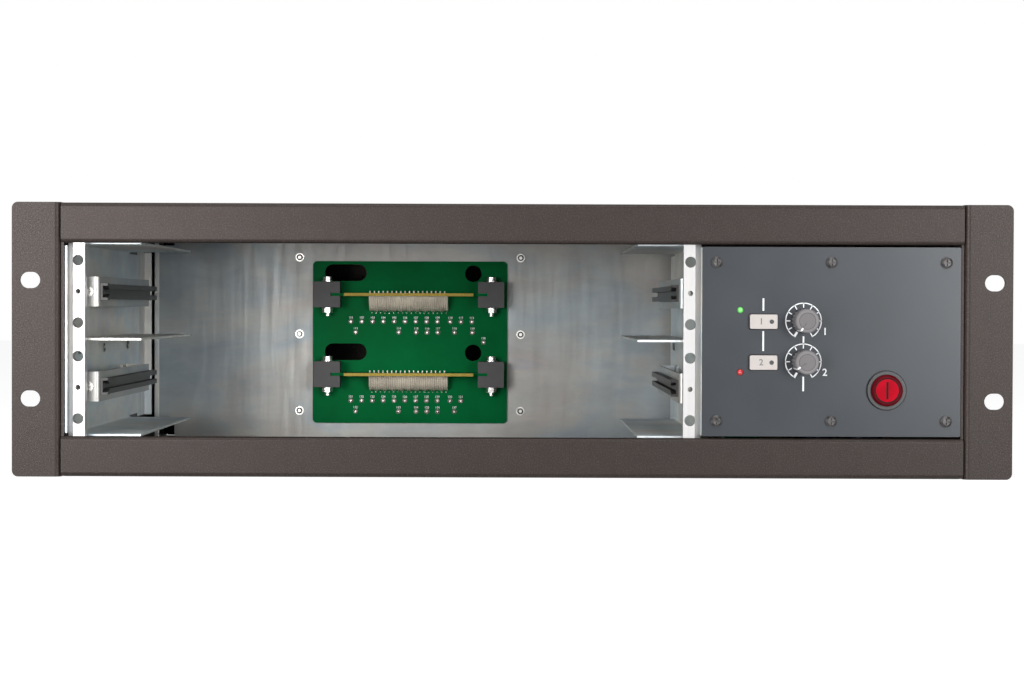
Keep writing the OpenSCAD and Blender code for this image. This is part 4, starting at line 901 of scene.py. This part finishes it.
# %% Link sleeves
sleeve_rows = (("upper_link_wires", "upper_edge_strip"), ("lower_link_wires", "lower_edge_strip"))
wires_in_row = 36
wire_r = mm(0.35)
sleeve_sides, sleeve_share, sleeve_bend, sleeve_steps = 10, 0.52, 84, 8
wobble_by, wobble_rate = mm(0.25), 1.7
cone_down, cone_r, cone_h = mm(1.5, 0.55, 0.5)
cone_sides, cone_tip = 10, 0.3
for wires, strip in sleeve_rows:
    wires_low, wires_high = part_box(wires)
    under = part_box(strip)[0].z
    bend = under - wires_low.z - wire_r
    pitch = (wires_high.x - wires_low.x - 2 * wire_r) / (wires_in_row - 1)
    sleeves, ends = bmesh.new(), bmesh.new()
    for count in range(wires_in_row):
        x = wires_low.x + wire_r + count * pitch
        wobble = wobble_by * math.sin(count * wobble_rate)
        ring = bmesh.ops.create_circle(sleeves, segments=sleeve_sides, radius=pitch * sleeve_share,
                                       cap_ends=False)["verts"]
        bmesh.ops.translate(sleeves, verts=ring, vec=(x, board_front - bend + wobble, under))
        edges = [e for e in sleeves.edges if all(v in ring for v in e.verts)]
        bmesh.ops.spin(sleeves, geom=ring + edges, cent=(x, board_front, under), axis=(1, 0, 0),
                       dvec=(0, 0, 0), angle=math.radians(sleeve_bend), steps=sleeve_steps,
                       use_merge=False)
        if count % 2 == 0:
            add_disc(ends, (x + pitch / 2, under - bend - cone_down), cone_r, board_front, cone_h,
                     cone_sides, cone_tip)
    make_piece(wires.replace("wires", "sleeves"), sleeves, "wire_sleeve", "case")
    make_piece(wires.replace("wires", "ends"), ends, "solder", "case")

# %% [markdown]
# ## Painted shadow rings round the studs
# Six studs hold the board's frame to the back panel. Each is a bright pin in a dark ring, and the
# ring is painted shadow: the shadow line round its countersunk head, laid on as a ring that is
# extruded a touch from the stud's own front.

# %% Painted stud shadow rings
studs = frame["nodes"]["cage_rivets"].data
stud_x, stud_rows, stud_reach = mm(64.9), mm(45, 0, -45), mm(3)
shadow_ring_r, shadow_ring_w, shadow_ring_t = mm(1.35, 0.75, 0.05)
shadow_rings = bmesh.new()
for side in (-1, 1):
    for z in stud_rows:
        x = board_middle.x + side * stud_x
        near = [v.co.y for v in studs.vertices
                if math.dist((v.co.x, v.co.z), (x, z)) < stud_reach]
        # Painted shadow: each dark ring stands for the shadow line round a stud's head.
        add_ring(shadow_rings, (x, z), shadow_ring_r, shadow_ring_w, 0, ring_sweep, min(near), shadow_ring_t)
make_piece("stud_shadow_rings", shadow_rings, "edge_black", "case")

# %% [markdown]
# ## Sheet edges behind the left bay
# The back panel's side edges are folded back, and the outer curve of the fold catches the light as a
# pale line, helped by a painted highlight: the fold takes a brighter copy of the zinc than the panel.
# Past the bay, the cage's left wall runs on along the case and turns in towards the back panel. The
# model's wall piece ends before that, so this sheet goes on from it, in a bright copy of the zinc
# that is painted light.

# %% Sheet edges
back_low, back_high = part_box("cage_back_panel")
side_low, side_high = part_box("left_cage_side")
long_edge = mm(10)
bead_near, bead_far, bead_front, bead_back, bead_round = mm(0.3, 3.0, 0.35, 0.2, 0.25)
fold = bmesh.new()
for edge_x, way in ((back_low.x, 1), (back_high.x, -1)):
    near, far = sorted((edge_x + way * bead_near, edge_x + way * bead_far))
    bead = add_block(fold, (near, back_low.y - bead_front, back_low.z),
                     (far, back_low.y + bead_back, back_high.z))
    edges = [e for e in fold.edges if all(v in bead for v in e.verts)
             and abs(e.verts[0].co.z - e.verts[1].co.z) > long_edge]
    round_edges(fold, edges, bead_round, 3)
# Painted highlight: the bead takes the brackets' brighter copy of the zinc rather than the back
# panel's own.
make_piece("back_panel_fold", fold, "zinc_bracket", "case")

wall = bmesh.new()
sheet_t, wall_reach, wall_gap, wall_inset, wall_round = mm(1.0, 262, 0.4, 0.02, 0.2)
add_block(wall, (side_low.x + wall_inset, side_high.y + wall_gap, side_low.z),
          (side_low.x + sheet_t, wall_reach, side_high.z))
long_edges = [e for e in wall.edges if abs(e.verts[0].co.y - e.verts[1].co.y) > long_edge]
round_edges(wall, long_edges, wall_round, 2)
return_low, return_high, return_gap = mm(227.5, 228.5, 0.8)
add_block(wall, (side_low.x + sheet_t, return_low, side_low.z),
          (back_low.x - return_gap, return_high, side_high.z))
# Painted light: this sheet takes a bright, less metallic copy of the zinc, which stands in for light
# that hardly reaches so far into the case.
make_piece("left_wall_rear", wall, "zinc_dull", "case")
